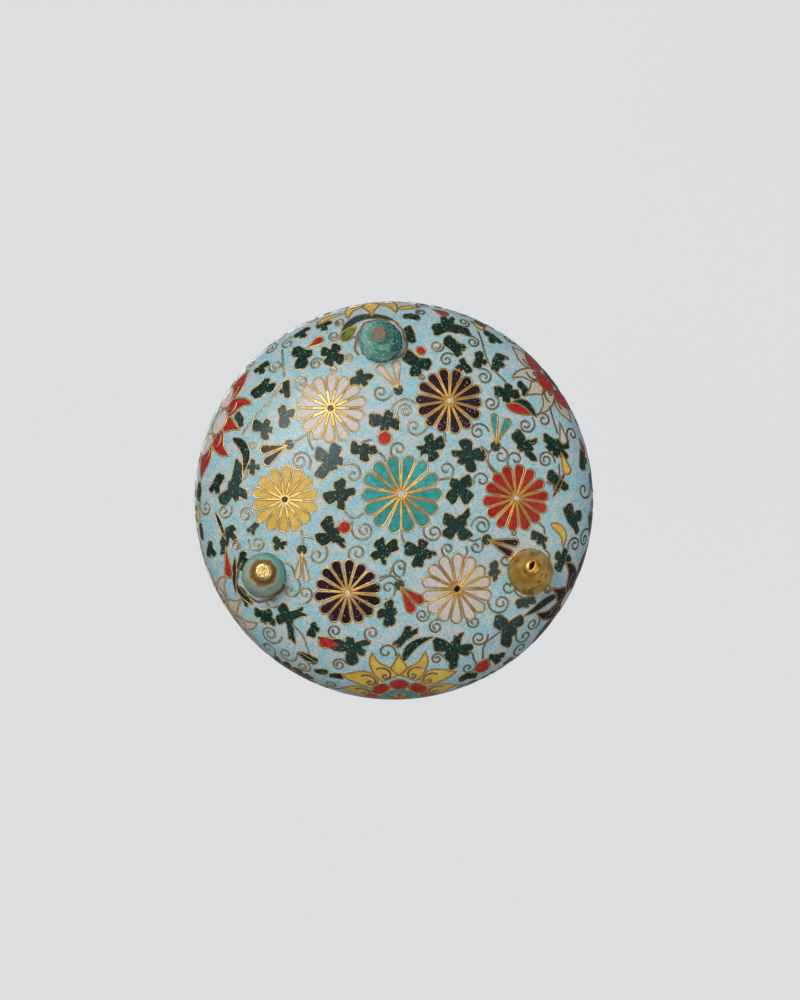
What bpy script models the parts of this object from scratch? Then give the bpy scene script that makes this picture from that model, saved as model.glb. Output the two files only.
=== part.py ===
"""A cloisonne tripod incense burner: a hollow bombe bowl with a flared lip, on three cast nipple feet.

Metres, +Z up. The origin is on the axis of the bowl, in the plane that the feet stand on.
The front foot stands near -Y. The bowl is one hollow vessel, empty and open at the mouth.
"""

import math

import bmesh
import bpy
from mathutils import Vector

# The bowl's heights, each measured on from the one before, starting at the ground.
GROUND_CLEARANCE = 0.0055
LOWER_DEPTH = 0.0250
SHOULDER_RISE = 0.0205
NECK_FILLET = 0.0045
LIP_RISE = 0.0100

# The bowl's widest ring, how far in from it the neck lies, and how far the lip flares out again.
BELLY_RADIUS = 0.0650
NECK_INSET = 0.0160
LIP_FLARE = 0.0055
NECK_RADIUS = BELLY_RADIUS - NECK_INSET

# The wall, and the thicker lip, which is rounded over at its edge.
WALL = 0.0030
LIP_THICKNESS = 0.0036

# How full the curves are: 2 is an ellipse, more is boxier.
LOWER_FULLNESS = 2.30
SHOULDER_FULLNESS = 2.10
FLARE_TURN = math.radians(58)

# The feet: a small flat tip, a knob, and a dome that seats against the bowl, in from the widest ring.
FOOT_INSET = 0.0154
FOOT_RADIUS = 0.0072
FOOT_TIP_RADIUS = 0.0020
FOOT_KNOB_ROUND = 0.0009
FOOT_KNOB_HEIGHT = 0.0026
FOOT_KNOB_FILLET = 0.0012
FOOT_SEAT_GAP = 0.0003
FOOT_CIRCLE_RADIUS = BELLY_RADIUS - FOOT_INSET

# The feet were set by hand, so their bearings round the bowl are not quite even.
FOOT_BEARINGS = {
    "foot_verdigris": math.radians(-95),
    "foot_gilt": math.radians(29),
    "foot_worn": math.radians(149),
}

# How finely the round shapes are divided.
BOWL_SEGMENTS = 64
FOOT_SEGMENTS = 24
LOWER_STEPS = 12
SHOULDER_STEPS = 6
FILLET_STEPS = 3
FLARE_STEPS = 3
LIP_STEPS = 4
KNOB_STEPS = 3
DOME_STEPS = 6
WELD = 0.000001
SHARP_ANGLE = math.radians(50)


def quarter(steps):
    """The angles of a quarter turn in even steps, both ends included."""
    return [math.pi / 2 * i / steps for i in range(steps + 1)]


def belly_height():
    """The height of the bowl's widest ring."""
    return GROUND_CLEARANCE + LOWER_DEPTH


def lower_height(radius):
    """The height of the bowl's outer surface, under its widest ring, at a radius."""
    share = min(radius / BELLY_RADIUS, 1.0)
    drop = (1.0 - share**LOWER_FULLNESS) ** (1.0 / LOWER_FULLNESS)
    return belly_height() - LOWER_DEPTH * drop


def lower_profile():
    """The bowl's outer profile from its lowest point, on the axis, to its widest ring."""
    power = 2.0 / LOWER_FULLNESS
    return [
        (BELLY_RADIUS * math.sin(a) ** power, belly_height() - LOWER_DEPTH * math.cos(a) ** power)
        for a in quarter(LOWER_STEPS)[:-1]
    ] + [(BELLY_RADIUS, belly_height())]


def upper_profile():
    """The bowl's outer profile above its widest ring: the shoulder, the neck and the flare under the lip."""
    power = 2.0 / SHOULDER_FULLNESS
    shoulder_end = NECK_RADIUS + NECK_FILLET
    shoulder_top = belly_height() + SHOULDER_RISE
    neck = shoulder_top + NECK_FILLET
    points = [
        (
            shoulder_end + (BELLY_RADIUS - shoulder_end) * math.cos(a) ** power,
            belly_height() + SHOULDER_RISE * math.sin(a) ** power,
        )
        for a in quarter(SHOULDER_STEPS)[1:-1]
    ]
    points += [
        (shoulder_end - NECK_FILLET * math.sin(a), neck - NECK_FILLET * math.cos(a))
        for a in quarter(FILLET_STEPS)
    ]
    reach = LIP_FLARE / (1.0 - math.cos(FLARE_TURN))
    points += [
        (NECK_RADIUS + reach * (1.0 - math.cos(a)), neck + LIP_RISE * math.sin(a) / math.sin(FLARE_TURN))
        for a in (FLARE_TURN * i / FLARE_STEPS for i in range(1, FLARE_STEPS + 1))
    ]
    return points


def normals(points):
    """The unit normal at each point of a profile, pointing to the left of its run, which is inwards here."""
    found = []
    for i, point in enumerate(points):
        before = Vector(points[max(i - 1, 0)])
        after = Vector(points[min(i + 1, len(points) - 1)])
        along = (after - before).normalized()
        found.append(Vector((-along.y, along.x)))
    return found


def inner_profile(outer):
    """The bowl's inner profile, a wall's thickness inside the outer one, thickened towards the lip."""
    neck = belly_height() + SHOULDER_RISE + NECK_FILLET
    points = []
    for point, normal in zip(outer, normals(outer)):
        share = min(max((point[1] - neck) / LIP_RISE, 0.0), 1.0)
        inside = Vector(point) + normal * (WALL + (LIP_THICKNESS - WALL) * share)
        points.append((max(inside.x, 0.0), inside.y))
    points[0] = (0.0, outer[0][1] + WALL)
    return points


def lip_profile(outer_end, inner_end):
    """The lip's rounded edge, a half turn from the outer profile's end over to the inner one's."""
    start, end = Vector(outer_end), Vector(inner_end)
    middle, radius = (start + end) / 2, (start - end) / 2
    over = Vector((-radius.y, radius.x))
    return [
        tuple(middle + radius * math.cos(a) + over * math.sin(a))
        for a in (math.pi * i / LIP_STEPS for i in range(1, LIP_STEPS))
    ]


def bowl_profile():
    """The whole closed run of the vessel's wall, from the axis outside, over the lip, to the axis inside."""
    outer = lower_profile() + upper_profile()
    inner = inner_profile(outer)
    return outer + lip_profile(outer[-1], inner[-1]) + inner[::-1]


def seat_profile():
    """The space that a foot may not enter: the bowl's lower outside plus the seat's gap, closed above."""
    outer = lower_profile()
    offset = [
        (max(p[0] - n.x * FOOT_SEAT_GAP, 0.0), p[1] - n.y * FOOT_SEAT_GAP)
        for p, n in zip(outer, normals(outer))
    ]
    offset[0] = (0.0, outer[0][1] - FOOT_SEAT_GAP)
    return offset + [(0.0, belly_height())]


def foot_profile():
    """A foot's outline from its tip, on its own axis, up past the bowl's surface, to be cut to its seat.

    The knob's side runs through a hollow fillet into the dome.
    The dome is at its full width where the foot's own axis meets the bowl.
    """
    top = lower_height(min(FOOT_CIRCLE_RADIUS + FOOT_RADIUS, BELLY_RADIUS)) + WALL / 2
    knob_radius = FOOT_TIP_RADIUS + FOOT_KNOB_ROUND
    points = [(0.0, 0.0)]
    points += [
        (FOOT_TIP_RADIUS + FOOT_KNOB_ROUND * math.sin(a), FOOT_KNOB_ROUND * (1.0 - math.cos(a)))
        for a in quarter(KNOB_STEPS)
    ]
    dome_start = knob_radius + FOOT_KNOB_FILLET
    points += [
        (
            dome_start - FOOT_KNOB_FILLET * math.cos(a),
            FOOT_KNOB_HEIGHT - FOOT_KNOB_FILLET * (1.0 - math.sin(a)),
        )
        for a in quarter(KNOB_STEPS)
    ]
    reach, rise = FOOT_RADIUS - dome_start, lower_height(FOOT_CIRCLE_RADIUS) - FOOT_KNOB_HEIGHT
    points += [
        (dome_start + reach * math.sin(a), FOOT_KNOB_HEIGHT + rise * (1.0 - math.cos(a)))
        for a in quarter(DOME_STEPS)[1:]
    ]
    points += [(FOOT_RADIUS, top), (0.0, top)]
    return points


def turned(name, profile, segments, centre=(0.0, 0.0)):
    """An object turned from a profile of (radius, height) points about a vertical axis."""
    mesh = bpy.data.meshes.new(name)
    shape = bmesh.new()
    corners = [shape.verts.new((radius, 0.0, height)) for radius, height in profile]
    edges = [shape.edges.new(pair) for pair in zip(corners, corners[1:])]
    bmesh.ops.spin(
        shape,
        geom=corners + edges,
        axis=(0, 0, 1),
        cent=(0, 0, 0),
        angle=2 * math.pi,
        steps=segments,
        use_merge=True,
    )
    bmesh.ops.remove_doubles(shape, verts=shape.verts, dist=WELD)
    bmesh.ops.recalc_face_normals(shape, faces=shape.faces)
    shape.to_mesh(mesh)
    shape.free()
    mesh.shade_smooth()
    mesh.set_sharp_from_angle(angle=SHARP_ANGLE)
    made = bpy.data.objects.new(name, mesh)
    made.location = (centre[0], centre[1], 0.0)
    bpy.context.scene.collection.objects.link(made)
    return made


def finish(name, colour, roughness, metallic):
    """A plain Principled material."""
    material = bpy.data.materials.new(name)
    material.use_nodes = True
    shader = material.node_tree.nodes["Principled BSDF"]
    shader.inputs["Base Color"].default_value = (*colour, 1.0)
    shader.inputs["Roughness"].default_value = roughness
    shader.inputs["Metallic"].default_value = metallic
    return material


def make_vessel(holder):
    """The hollow bowl with its neck and lip, one piece."""
    vessel = turned("vessel", bowl_profile(), BOWL_SEGMENTS)
    vessel.data.materials.append(finish("blue_enamel", (0.52, 0.66, 0.72), 0.25, 0.0))
    vessel.parent = holder


def make_feet(holder):
    """The three feet round the bowl, each cut to seat against its underside."""
    seat = turned("seat_cutter", seat_profile(), BOWL_SEGMENTS)
    seat.hide_render = True
    seat.display_type = "WIRE"
    seat.parent = holder
    finishes = {
        "foot_verdigris": finish("verdigris", (0.18, 0.45, 0.38), 0.85, 0.1),
        "foot_gilt": finish("gilt_bronze", (0.80, 0.56, 0.22), 0.35, 1.0),
        "foot_worn": finish("worn_gilding", (0.45, 0.50, 0.36), 0.60, 0.5),
    }
    for name, bearing in FOOT_BEARINGS.items():
        place = (FOOT_CIRCLE_RADIUS * math.cos(bearing), FOOT_CIRCLE_RADIUS * math.sin(bearing))
        foot = turned(name, foot_profile(), FOOT_SEGMENTS, place)
        foot.data.materials.append(finishes[name])
        foot.parent = holder
        cut = foot.modifiers.new("seat", "BOOLEAN")
        cut.operation = "DIFFERENCE"
        cut.solver = "EXACT"
        cut.object = seat


def main():
    """Builds the incense burner."""
    for old in list(bpy.data.objects):
        bpy.data.objects.remove(old)
    holder = bpy.data.objects.new("incense_burner", None)
    bpy.context.scene.collection.objects.link(holder)
    make_vessel(holder)
    make_feet(holder)


main()
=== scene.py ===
"""The looks of the cloisonne incense burner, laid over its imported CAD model.

The burner stands upright on its three feet, and the camera looks up at its underside.
The pattern is drawn on a plan: a round, flat map of the bowl's outside that keeps angles true.
The plan's middle is the lowest point of the bowl and its rim is the lip. A point of it is a complex number.
"""

import logging
import math
import random
from collections import defaultdict
from dataclasses import dataclass, field
from enum import Enum
from typing import Iterable, Sequence

import bpy
import numpy as np
from mathutils import Matrix, Vector, noise
from mathutils.geometry import delaunay_2d_cdt
from mathutils.kdtree import KDTree


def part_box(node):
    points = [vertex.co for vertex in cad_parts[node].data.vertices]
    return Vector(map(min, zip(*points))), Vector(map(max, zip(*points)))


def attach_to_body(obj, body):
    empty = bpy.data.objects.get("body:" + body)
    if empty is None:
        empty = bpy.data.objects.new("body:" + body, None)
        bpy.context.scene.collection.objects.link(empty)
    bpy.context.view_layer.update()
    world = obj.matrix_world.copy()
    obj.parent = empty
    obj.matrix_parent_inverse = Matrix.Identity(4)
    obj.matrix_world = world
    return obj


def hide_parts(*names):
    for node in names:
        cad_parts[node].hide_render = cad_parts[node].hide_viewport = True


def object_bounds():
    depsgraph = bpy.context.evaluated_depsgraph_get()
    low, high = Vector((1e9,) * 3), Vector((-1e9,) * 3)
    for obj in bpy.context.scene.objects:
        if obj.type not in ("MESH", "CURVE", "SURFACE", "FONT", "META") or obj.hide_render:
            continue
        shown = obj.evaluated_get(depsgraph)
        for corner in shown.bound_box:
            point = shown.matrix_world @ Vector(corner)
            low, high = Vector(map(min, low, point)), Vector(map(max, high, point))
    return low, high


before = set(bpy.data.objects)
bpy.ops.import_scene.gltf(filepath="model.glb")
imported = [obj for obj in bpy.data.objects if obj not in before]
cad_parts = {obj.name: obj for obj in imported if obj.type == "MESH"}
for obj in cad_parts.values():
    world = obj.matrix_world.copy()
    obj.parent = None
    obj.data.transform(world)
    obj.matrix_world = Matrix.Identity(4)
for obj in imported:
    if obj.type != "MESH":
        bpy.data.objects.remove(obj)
CAD_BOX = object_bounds()

log = logging.getLogger("incense_burner")

Pixel = tuple[float, float]
Plan = np.ndarray

MM = 0.001
TURN = 2 * math.pi
IMAGE_WIDTH = 800
IMAGE_HEIGHT = 1000
TINY = 1e-9
SMALL = 1e-6


def srgb(red: float, green: float, blue: float) -> tuple[float, float, float, float]:
    """A linear colour from the 0 to 255 values that a screen shows.

    Args:
        red: the red channel.
        green: the green channel.
        blue: the blue channel.

    Returns:
        The colour as red, green, blue and full alpha.
    """
    linear = []
    for channel in (red, green, blue):
        share = channel / 255
        linear.append(share / 12.92 if share <= 0.04045 else ((share + 0.055) / 1.055) ** 2.4)
    return (*linear, 1.0)


def circle(count: int) -> Plan:
    """Points evenly round the unit circle."""
    return np.exp(1j * np.linspace(0, TURN, count, endpoint=False))


class Glaze(Enum):
    """The enamels, each a piece of its own."""

    GROUND = "enamel_ground"
    LEAF = "enamel_leaf_green"
    YELLOW = "enamel_yellow"
    RED = "enamel_coral_red"
    WHITE = "enamel_pink_white"
    AUBERGINE = "enamel_aubergine"
    LIME = "enamel_lime"
    TURQUOISE = "enamel_turquoise"
    GILT = "gilt_flower_hearts"


class Value:
    """A shader socket that takes part in arithmetic; each operator adds one Math node."""

    def __init__(self, bench: "Workbench", socket: bpy.types.NodeSocket) -> None:
        """Keeps the socket and the material that it belongs to."""
        self.bench = bench
        self.socket = socket

    def _math(self, operation: str, first: "Value | float", second: "Value | float") -> "Value":
        """One Math node."""
        made = self.bench.node("ShaderNodeMath", {"operation": operation}, {0: first, 1: second})
        return Value(self.bench, made.outputs[0])

    def __add__(self, other: "Value | float") -> "Value":
        """This plus another."""
        return self._math("ADD", self, other)

    __radd__ = __add__

    def __sub__(self, other: "Value | float") -> "Value":
        """This minus another."""
        return self._math("SUBTRACT", self, other)

    def __rsub__(self, other: "Value | float") -> "Value":
        """Another minus this."""
        return self._math("SUBTRACT", other, self)

    def __mul__(self, other: "Value | float") -> "Value":
        """This times another."""
        return self._math("MULTIPLY", self, other)

    __rmul__ = __mul__

    def __lt__(self, other: "Value | float") -> "Value":
        """One where this is less, else nought."""
        return self._math("LESS_THAN", self, other)

    def clipped(self, low: float, high: float) -> "Value":
        """This stretched to run from 0 to 1, smooth between and level outside.

        Args:
            low: what becomes 0.
            high: what becomes 1.

        Returns:
            The stretched value.
        """
        made = self.bench.node(
            "ShaderNodeMapRange",
            {"interpolation_type": "SMOOTHSTEP"},
            {"Value": self, "From Min": low, "From Max": high},
        )
        return Value(self.bench, made.outputs["Result"])


class Workbench:
    """One material while its finish is laid on."""

    def __init__(self, name: str) -> None:
        """Makes the material with its Principled shader."""
        self.material = bpy.data.materials.new(name)
        self.material.use_nodes = True
        self.tree = self.material.node_tree
        self.shader = self.tree.nodes["Principled BSDF"]
        self.place = self.node("ShaderNodeNewGeometry").outputs["Position"]

    def node(self, kind: str, settings: dict | None = None, sockets: dict | None = None) -> bpy.types.Node:
        """Adds a node.

        Args:
            kind: the node's type.
            settings: its properties, set first.
            sockets: its sockets' values or links, by name or number.

        Returns:
            The node.
        """
        made = self.tree.nodes.new(kind)
        for key, value in (settings or {}).items():
            setattr(made, key, value)
        for key, value in (sockets or {}).items():
            self.plug(made.inputs[key], value)
        return made

    def plug(self, socket: bpy.types.NodeSocket, value: object) -> None:
        """Links a socket, or sets its own value.

        Args:
            socket: the socket.
            value: a value or a socket to link, or a plain number, colour or vector.
        """
        source = value.socket if isinstance(value, Value) else value
        if isinstance(source, bpy.types.NodeSocket):
            self.tree.links.new(source, socket)
        else:
            socket.default_value = value

    def set(self, **sockets: object) -> None:
        """Sets or links the shader's sockets, an underscore standing for a space in a name."""
        for name, value in sockets.items():
            self.plug(self.shader.inputs[name.replace("_", " ")], value)

    def clouds(self, size: float, detail: float = 3.0, roughness: float = 0.55) -> Value:
        """Soft noise.

        Args:
            size: the size of its patches, in millimetres.
            detail: how many finer layers it has.
            roughness: how strong those are.

        Returns:
            The noise, 0 to 1.
        """
        made = self.node(
            "ShaderNodeTexNoise",
            {"noise_dimensions": "3D"},
            {"Vector": self.place, "Scale": 1 / (size * MM), "Detail": detail, "Roughness": roughness},
        )
        return Value(self, made.outputs["Fac"])

    def specks(self, spacing: float, radius: float, share: float) -> Value:
        """A mask of small round specks.

        Args:
            spacing: the distance between speck places, in millimetres.
            radius: a speck's radius as a share of the spacing.
            share: how many of the places hold a speck, 0 to 1.

        Returns:
            The mask, 1 in a speck.
        """
        made = self.node("ShaderNodeTexVoronoi", {}, {"Vector": self.place, "Scale": 1 / (spacing * MM)})
        chosen = self.node("ShaderNodeSeparateColor", {}, {0: made.outputs["Color"]})
        inside = 1 - Value(self, made.outputs["Distance"]).clipped(radius * 0.5, radius)
        return inside * (Value(self, chosen.outputs[0]) < share)

    def attribute(self, name: str) -> Value:
        """A number that the mesh carries point by point."""
        made = self.node("ShaderNodeAttribute", {"attribute_name": name})
        return Value(self, made.outputs["Fac"])

    def axis(self, name: str) -> Value:
        """One coordinate of the surface's place, in metres."""
        made = self.node("ShaderNodeSeparateXYZ", {}, {0: self.place})
        return Value(self, made.outputs[name])

    def mix(self, share: object, first: object, second: object) -> bpy.types.NodeSocket:
        """A colour between two, by a share."""
        made = self.node("ShaderNodeMix", {"data_type": "RGBA"}, {0: share, 6: first, 7: second})
        return made.outputs[2]

    def bump(self, height: Value, distance: float, strength: float = 1.0) -> None:
        """Raises the surface's look.

        Args:
            height: how high each place is.
            distance: what a height of one stands for, in millimetres.
            strength: how strongly it shows.
        """
        made = self.node(
            "ShaderNodeBump", {}, {"Height": height, "Distance": distance * MM, "Strength": strength}
        )
        self.set(Normal=made.outputs["Normal"])


@dataclass(frozen=True)
class EnamelFinish:
    """A fired and polished enamel: clouded and grainy colour with dark pits, and pale specks painted in as
    glints where light catches bubbles in it.
    """

    name: str
    colour: tuple
    cloud: tuple
    streak: tuple
    tinge: tuple
    pit: tuple = srgb(74, 84, 104)
    pit_share: float = 0.16
    glint: tuple = srgb(196, 214, 220)
    glint_share: float = 0.0
    grain: float = 0.45
    roughness: float = 0.26
    reflection: float = 0.20

    def make(self) -> bpy.types.Material:
        """The finish as a material."""
        bench = Workbench(self.name)
        tone = bench.attribute("tone")
        base = bench.mix(bench.clouds(3.2, 3.0).clipped(0.43, 0.57), self.colour, self.cloud)
        base = bench.mix(bench.clouds(1.3, 4.0, 0.7).clipped(0.47, 0.66) * 0.85, base, self.streak)
        base = bench.mix(tone, base, self.tinge)
        grain = bench.clouds(0.50, 2.0, 0.8)
        base = bench.mix(grain.clipped(0.55, 0.74) * self.grain, base, self.glint)
        base = bench.mix((1 - grain).clipped(0.55, 0.74) * self.grain, base, self.pit)
        pits = bench.specks(0.85, 0.26, self.pit_share) * 0.7
        base = bench.mix(pits, base, self.pit)
        # Painted glints: pale specks for light caught by bubbles in the enamel.
        if self.glint_share:
            glints = bench.specks(0.80, 0.33, self.glint_share)
            base = bench.mix(glints * 0.85, base, self.glint)
        bench.set(
            Base_Color=base,
            Roughness=bench.clouds(2.0) * 0.16 + (self.roughness - 0.06),
            Specular_IOR_Level=self.reflection,
        )
        bench.bump(bench.clouds(2.6, 2.0) * 0.6 - pits, 0.03, 0.5)
        return bench.material


@dataclass(frozen=True)
class WireFinish:
    """The gilt wires: a painted highlight makes them gold with bright glints on the left (-X) and ochre
    towards the right; from about the widest ring upward, and more to +X and -Y, they turn brown, partly
    tarnish and partly painted shade; small rubbed spots are brown with wear.
    """

    name: str = "gilt_wire"
    # bright and gold are the painted highlight's colours, ochre is the wires' plain colour, brown is that of
    # wear and painted shade.
    bright: tuple = srgb(252, 222, 150)
    gold: tuple = srgb(230, 182, 94)
    ochre: tuple = srgb(206, 152, 64)
    brown: tuple = srgb(132, 106, 70)

    def make(self) -> bpy.types.Material:
        """The finish as a material."""
        bench = Workbench(self.name)
        x, y, z = bench.axis("X"), bench.axis("Y"), bench.axis("Z")
        patches = bench.clouds(9.0, 3.0)
        fine = bench.clouds(1.4, 3.0)
        # Painted highlight: gold on the left (-X), where the key light glints on the wires, ochre towards the
        # right.
        lit = (patches + x * -4.0).clipped(0.42, 0.74)
        base = bench.mix(lit, self.ochre, self.gold)
        # Painted glints: bright flecks inside the painted highlight.
        base = bench.mix(lit * fine.clipped(0.40, 0.62), base, self.bright)
        # Brown from about the widest ring upward, more to +X and -Y: partly tarnish, partly painted shade
        # where the wires turn away from the light.
        edge = (z * 48.0 + patches * 0.8 + x * 6.0 + y * -3.0).clipped(1.35, 1.95)
        worn = fine.clipped(0.55, 0.75) * 0.5
        base = bench.mix(edge * 0.85, base, self.brown)
        base = bench.mix(worn, base, self.brown)
        bench.set(Base_Color=base, Metallic=0.8, Roughness=fine * 0.25 + 0.30)
        bench.bump(fine, 0.03, 0.4)
        return bench.material


@dataclass(frozen=True)
class SeamFinish:
    """The dark line along each wire: grime and painted shadow."""

    name: str = "seam_grime_and_shade"
    dark: tuple = srgb(84, 74, 54)
    pale: tuple = srgb(124, 122, 106)

    def make(self) -> bpy.types.Material:
        """The finish as a material."""
        bench = Workbench(self.name)
        base = bench.mix(bench.clouds(2.5, 4.0).clipped(0.40, 0.66), self.dark, self.pale)
        bench.set(Base_Color=base, Roughness=0.55)
        return bench.material


@dataclass(frozen=True)
class GiltFinish:
    """Mercury gilding on bronze, rubbed bright, with brown spots and scratches."""

    name: str
    gold: tuple = srgb(214, 160, 66)
    bright: tuple = srgb(250, 208, 112)
    brown: tuple = srgb(110, 66, 24)
    hollow: tuple = srgb(40, 26, 14)
    spot_share: float = 0.30
    roughness: float = 0.30

    def make(self) -> bpy.types.Material:
        """The finish as a material."""
        bench = Workbench(self.name)
        patches = bench.clouds(5.0, 4.0)
        fine = bench.clouds(0.8, 4.0, 0.7)
        base = bench.mix(patches.clipped(0.38, 0.66), self.gold, self.bright)
        spots = bench.specks(2.4, 0.42, self.spot_share) + patches.clipped(0.56, 0.74)
        base = bench.mix(spots.clipped(0.0, 1.2) * 0.75, base, self.brown)
        base = bench.mix(bench.attribute("pit").clipped(0.2, 0.9), base, self.hollow)
        bench.set(Base_Color=base, Metallic=1.0, Roughness=fine * 0.30 + (self.roughness - 0.10))
        bench.bump(fine + patches - spots * 0.5, 0.10, 0.5)
        return bench.material


@dataclass(frozen=True)
class PatinaFinish:
    """A corroded foot: crust on its dome, brown metal round its tip, and the tip rubbed bare."""

    name: str
    crust: tuple
    pale: tuple
    dark: tuple
    ring: tuple
    tip: tuple
    tip_metallic: float
    sparkle: tuple = srgb(226, 246, 238)
    solder: tuple = srgb(92, 70, 44)
    crust_roughness: float = 0.80
    grain: float = 0.6
    ring_strength: float = 1.0

    def make(self) -> bpy.types.Material:
        """The finish as a material; the mesh says where the tip, its ring and the darker side lie."""
        bench = Workbench(self.name)
        tip, ring, rim, shade = (bench.attribute(name) for name in ("tip", "ring", "rim", "shade"))
        patches = bench.clouds(3.2, 5.0, 0.65)
        fine = bench.clouds(0.55, 4.0, 0.75)
        base = bench.mix(patches.clipped(0.40, 0.62), self.crust, self.pale)
        # The shade mask turns one side of the dome to the dark colour: painted shade on the verdigris foot, a
        # bluer tint of about equal lightness on the worn foot.
        base = bench.mix((shade + (patches - 0.5) * 1.4).clipped(0.45, 0.80), base, self.dark)
        base = bench.mix(fine.clipped(0.50, 0.63) * self.grain, base, self.pale)
        base = bench.mix((1 - fine).clipped(0.50, 0.63) * self.grain, base, self.dark)
        # Pale crystal specks in the crust, painted bright as glints of sparkle.
        base = bench.mix(bench.specks(0.62, 0.36, 0.42) * self.grain, base, self.sparkle)
        stain = (ring + (patches - 0.5) * 1.5 + (fine - 0.5) * 0.5).clipped(0.30, 0.85) * self.ring_strength
        base = bench.mix(stain, base, self.ring)
        base = bench.mix((rim + (patches - 0.5) * 1.4).clipped(0.45, 0.90) * 0.8, base, self.solder)
        bare = (tip + (fine - 0.5) * 0.4).clipped(0.35, 0.65)
        base = bench.mix((tip * (1 - tip) * 4).clipped(0.3, 0.9) * 0.6, base, self.pale)
        base = bench.mix(bare, base, self.tip)
        base = bench.mix(bare * fine.clipped(0.46, 0.64) * 0.55, base, self.ring)
        base = bench.mix(bare * bench.specks(0.6, 0.30, 0.35) * self.grain * 0.8, base, self.pale)
        bench.set(
            Base_Color=base,
            Metallic=bare * self.tip_metallic + stain * (1 - bare) * (0.6 * self.tip_metallic),
            Roughness=self.crust_roughness - bare * 0.42 + fine * 0.1,
        )
        bench.bump(fine * (1 - bare * 0.7) + patches, 0.12 + 0.45 * self.grain, 0.9)
        return bench.material


@dataclass(frozen=True)
class PlainFinish:
    """A quiet studio surface."""

    name: str
    colour: tuple
    cloud: tuple = srgb(196, 198, 202)
    glow: float = 0.0

    def make(self) -> bpy.types.Material:
        """The finish as a material."""
        bench = Workbench(self.name)
        clouded = bench.mix(bench.clouds(900.0, 2.0) * 0.12, self.colour, self.cloud)
        if self.glow:
            bench.set(Base_Color=(0, 0, 0, 1), Emission_Color=clouded, Emission_Strength=self.glow)
        else:
            bench.set(Base_Color=clouded, Roughness=0.7)
        return bench.material


ENAMELS = {
    Glaze.GROUND: EnamelFinish(
        "pale_blue_enamel",
        srgb(152, 198, 206),
        srgb(190, 198, 196),
        srgb(136, 184, 196),
        srgb(190, 190, 194),
        grain=0.95,
        pit=srgb(96, 114, 118),
        glint=srgb(206, 220, 222),
        pit_share=0.34,
    ),
    Glaze.LEAF: EnamelFinish(
        "dark_green_enamel",
        srgb(12, 40, 32),
        srgb(14, 32, 34),
        srgb(26, 64, 40),
        srgb(66, 84, 86),
        pit=srgb(4, 14, 12),
        glint=srgb(138, 178, 152),
        glint_share=0.30,
        grain=0.34,
    ),
    Glaze.LIME: EnamelFinish(
        "lime_green_enamel",
        srgb(112, 126, 50),
        srgb(60, 84, 38),
        srgb(140, 146, 62),
        srgb(40, 60, 34),
        pit=srgb(24, 40, 22),
        glint=srgb(176, 178, 96),
        glint_share=0.2,
    ),
    Glaze.YELLOW: EnamelFinish(
        "yellow_enamel",
        srgb(224, 190, 92),
        srgb(212, 172, 70),
        srgb(220, 186, 88),
        srgb(180, 136, 44),
        pit=srgb(140, 100, 40),
        glint=srgb(232, 206, 124),
        grain=0.35,
    ),
    Glaze.RED: EnamelFinish(
        "coral_red_enamel",
        srgb(176, 38, 34),
        srgb(158, 34, 38),
        srgb(196, 66, 46),
        srgb(128, 26, 28),
        pit=srgb(112, 22, 26),
        glint=srgb(212, 104, 84),
        grain=0.4,
    ),
    Glaze.WHITE: EnamelFinish(
        "pink_white_enamel",
        srgb(204, 198, 192),
        srgb(192, 184, 184),
        srgb(214, 208, 198),
        srgb(192, 178, 158),
        pit=srgb(140, 130, 134),
        glint=srgb(226, 222, 220),
        grain=0.4,
    ),
    Glaze.AUBERGINE: EnamelFinish(
        "aubergine_enamel",
        srgb(26, 8, 16),
        srgb(18, 6, 12),
        srgb(44, 14, 28),
        srgb(60, 36, 54),
        pit=srgb(12, 5, 8),
        glint=srgb(186, 156, 166),
        glint_share=0.24,
        grain=0.16,
    ),
    Glaze.TURQUOISE: EnamelFinish(
        "turquoise_enamel",
        srgb(54, 158, 162),
        srgb(44, 140, 146),
        srgb(84, 176, 170),
        srgb(36, 118, 92),
        pit=srgb(28, 100, 104),
        glint=srgb(124, 192, 190),
        grain=0.35,
    ),
}


def outline_of(node: str) -> list[tuple[float, float]]:
    """Reads a turned node's outline from its mesh, in the half plane to the right of the bowl's axis.

    Args:
        node: a CAD node centred on the bowl's axis.

    Returns:
        Radius and height in millimetres, walked from the lowest point on the axis to the other end.
    """
    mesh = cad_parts[node].data
    near = 1e-5
    keys = {}
    for vertex in mesh.vertices:
        if abs(vertex.co.y) < near and vertex.co.x > -near:
            keys[vertex.index] = (round(max(vertex.co.x, 0.0) / near), round(vertex.co.z / near))
    links = defaultdict(set)
    for edge in mesh.edges:
        first, second = (keys.get(i) for i in edge.vertices)
        if first and second and first != second:
            links[first].add(second)
            links[second].add(first)
    here = min((key for key in links if key[0] == 0), key=lambda key: key[1])
    walked = [here]
    seen = {here}
    while True:
        ahead = [key for key in links[here] if key not in seen]
        if not ahead:
            break
        here = ahead[0]
        seen.add(here)
        walked.append(here)
    return [(radius * near / MM, height * near / MM) for radius, height in walked]


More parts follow.
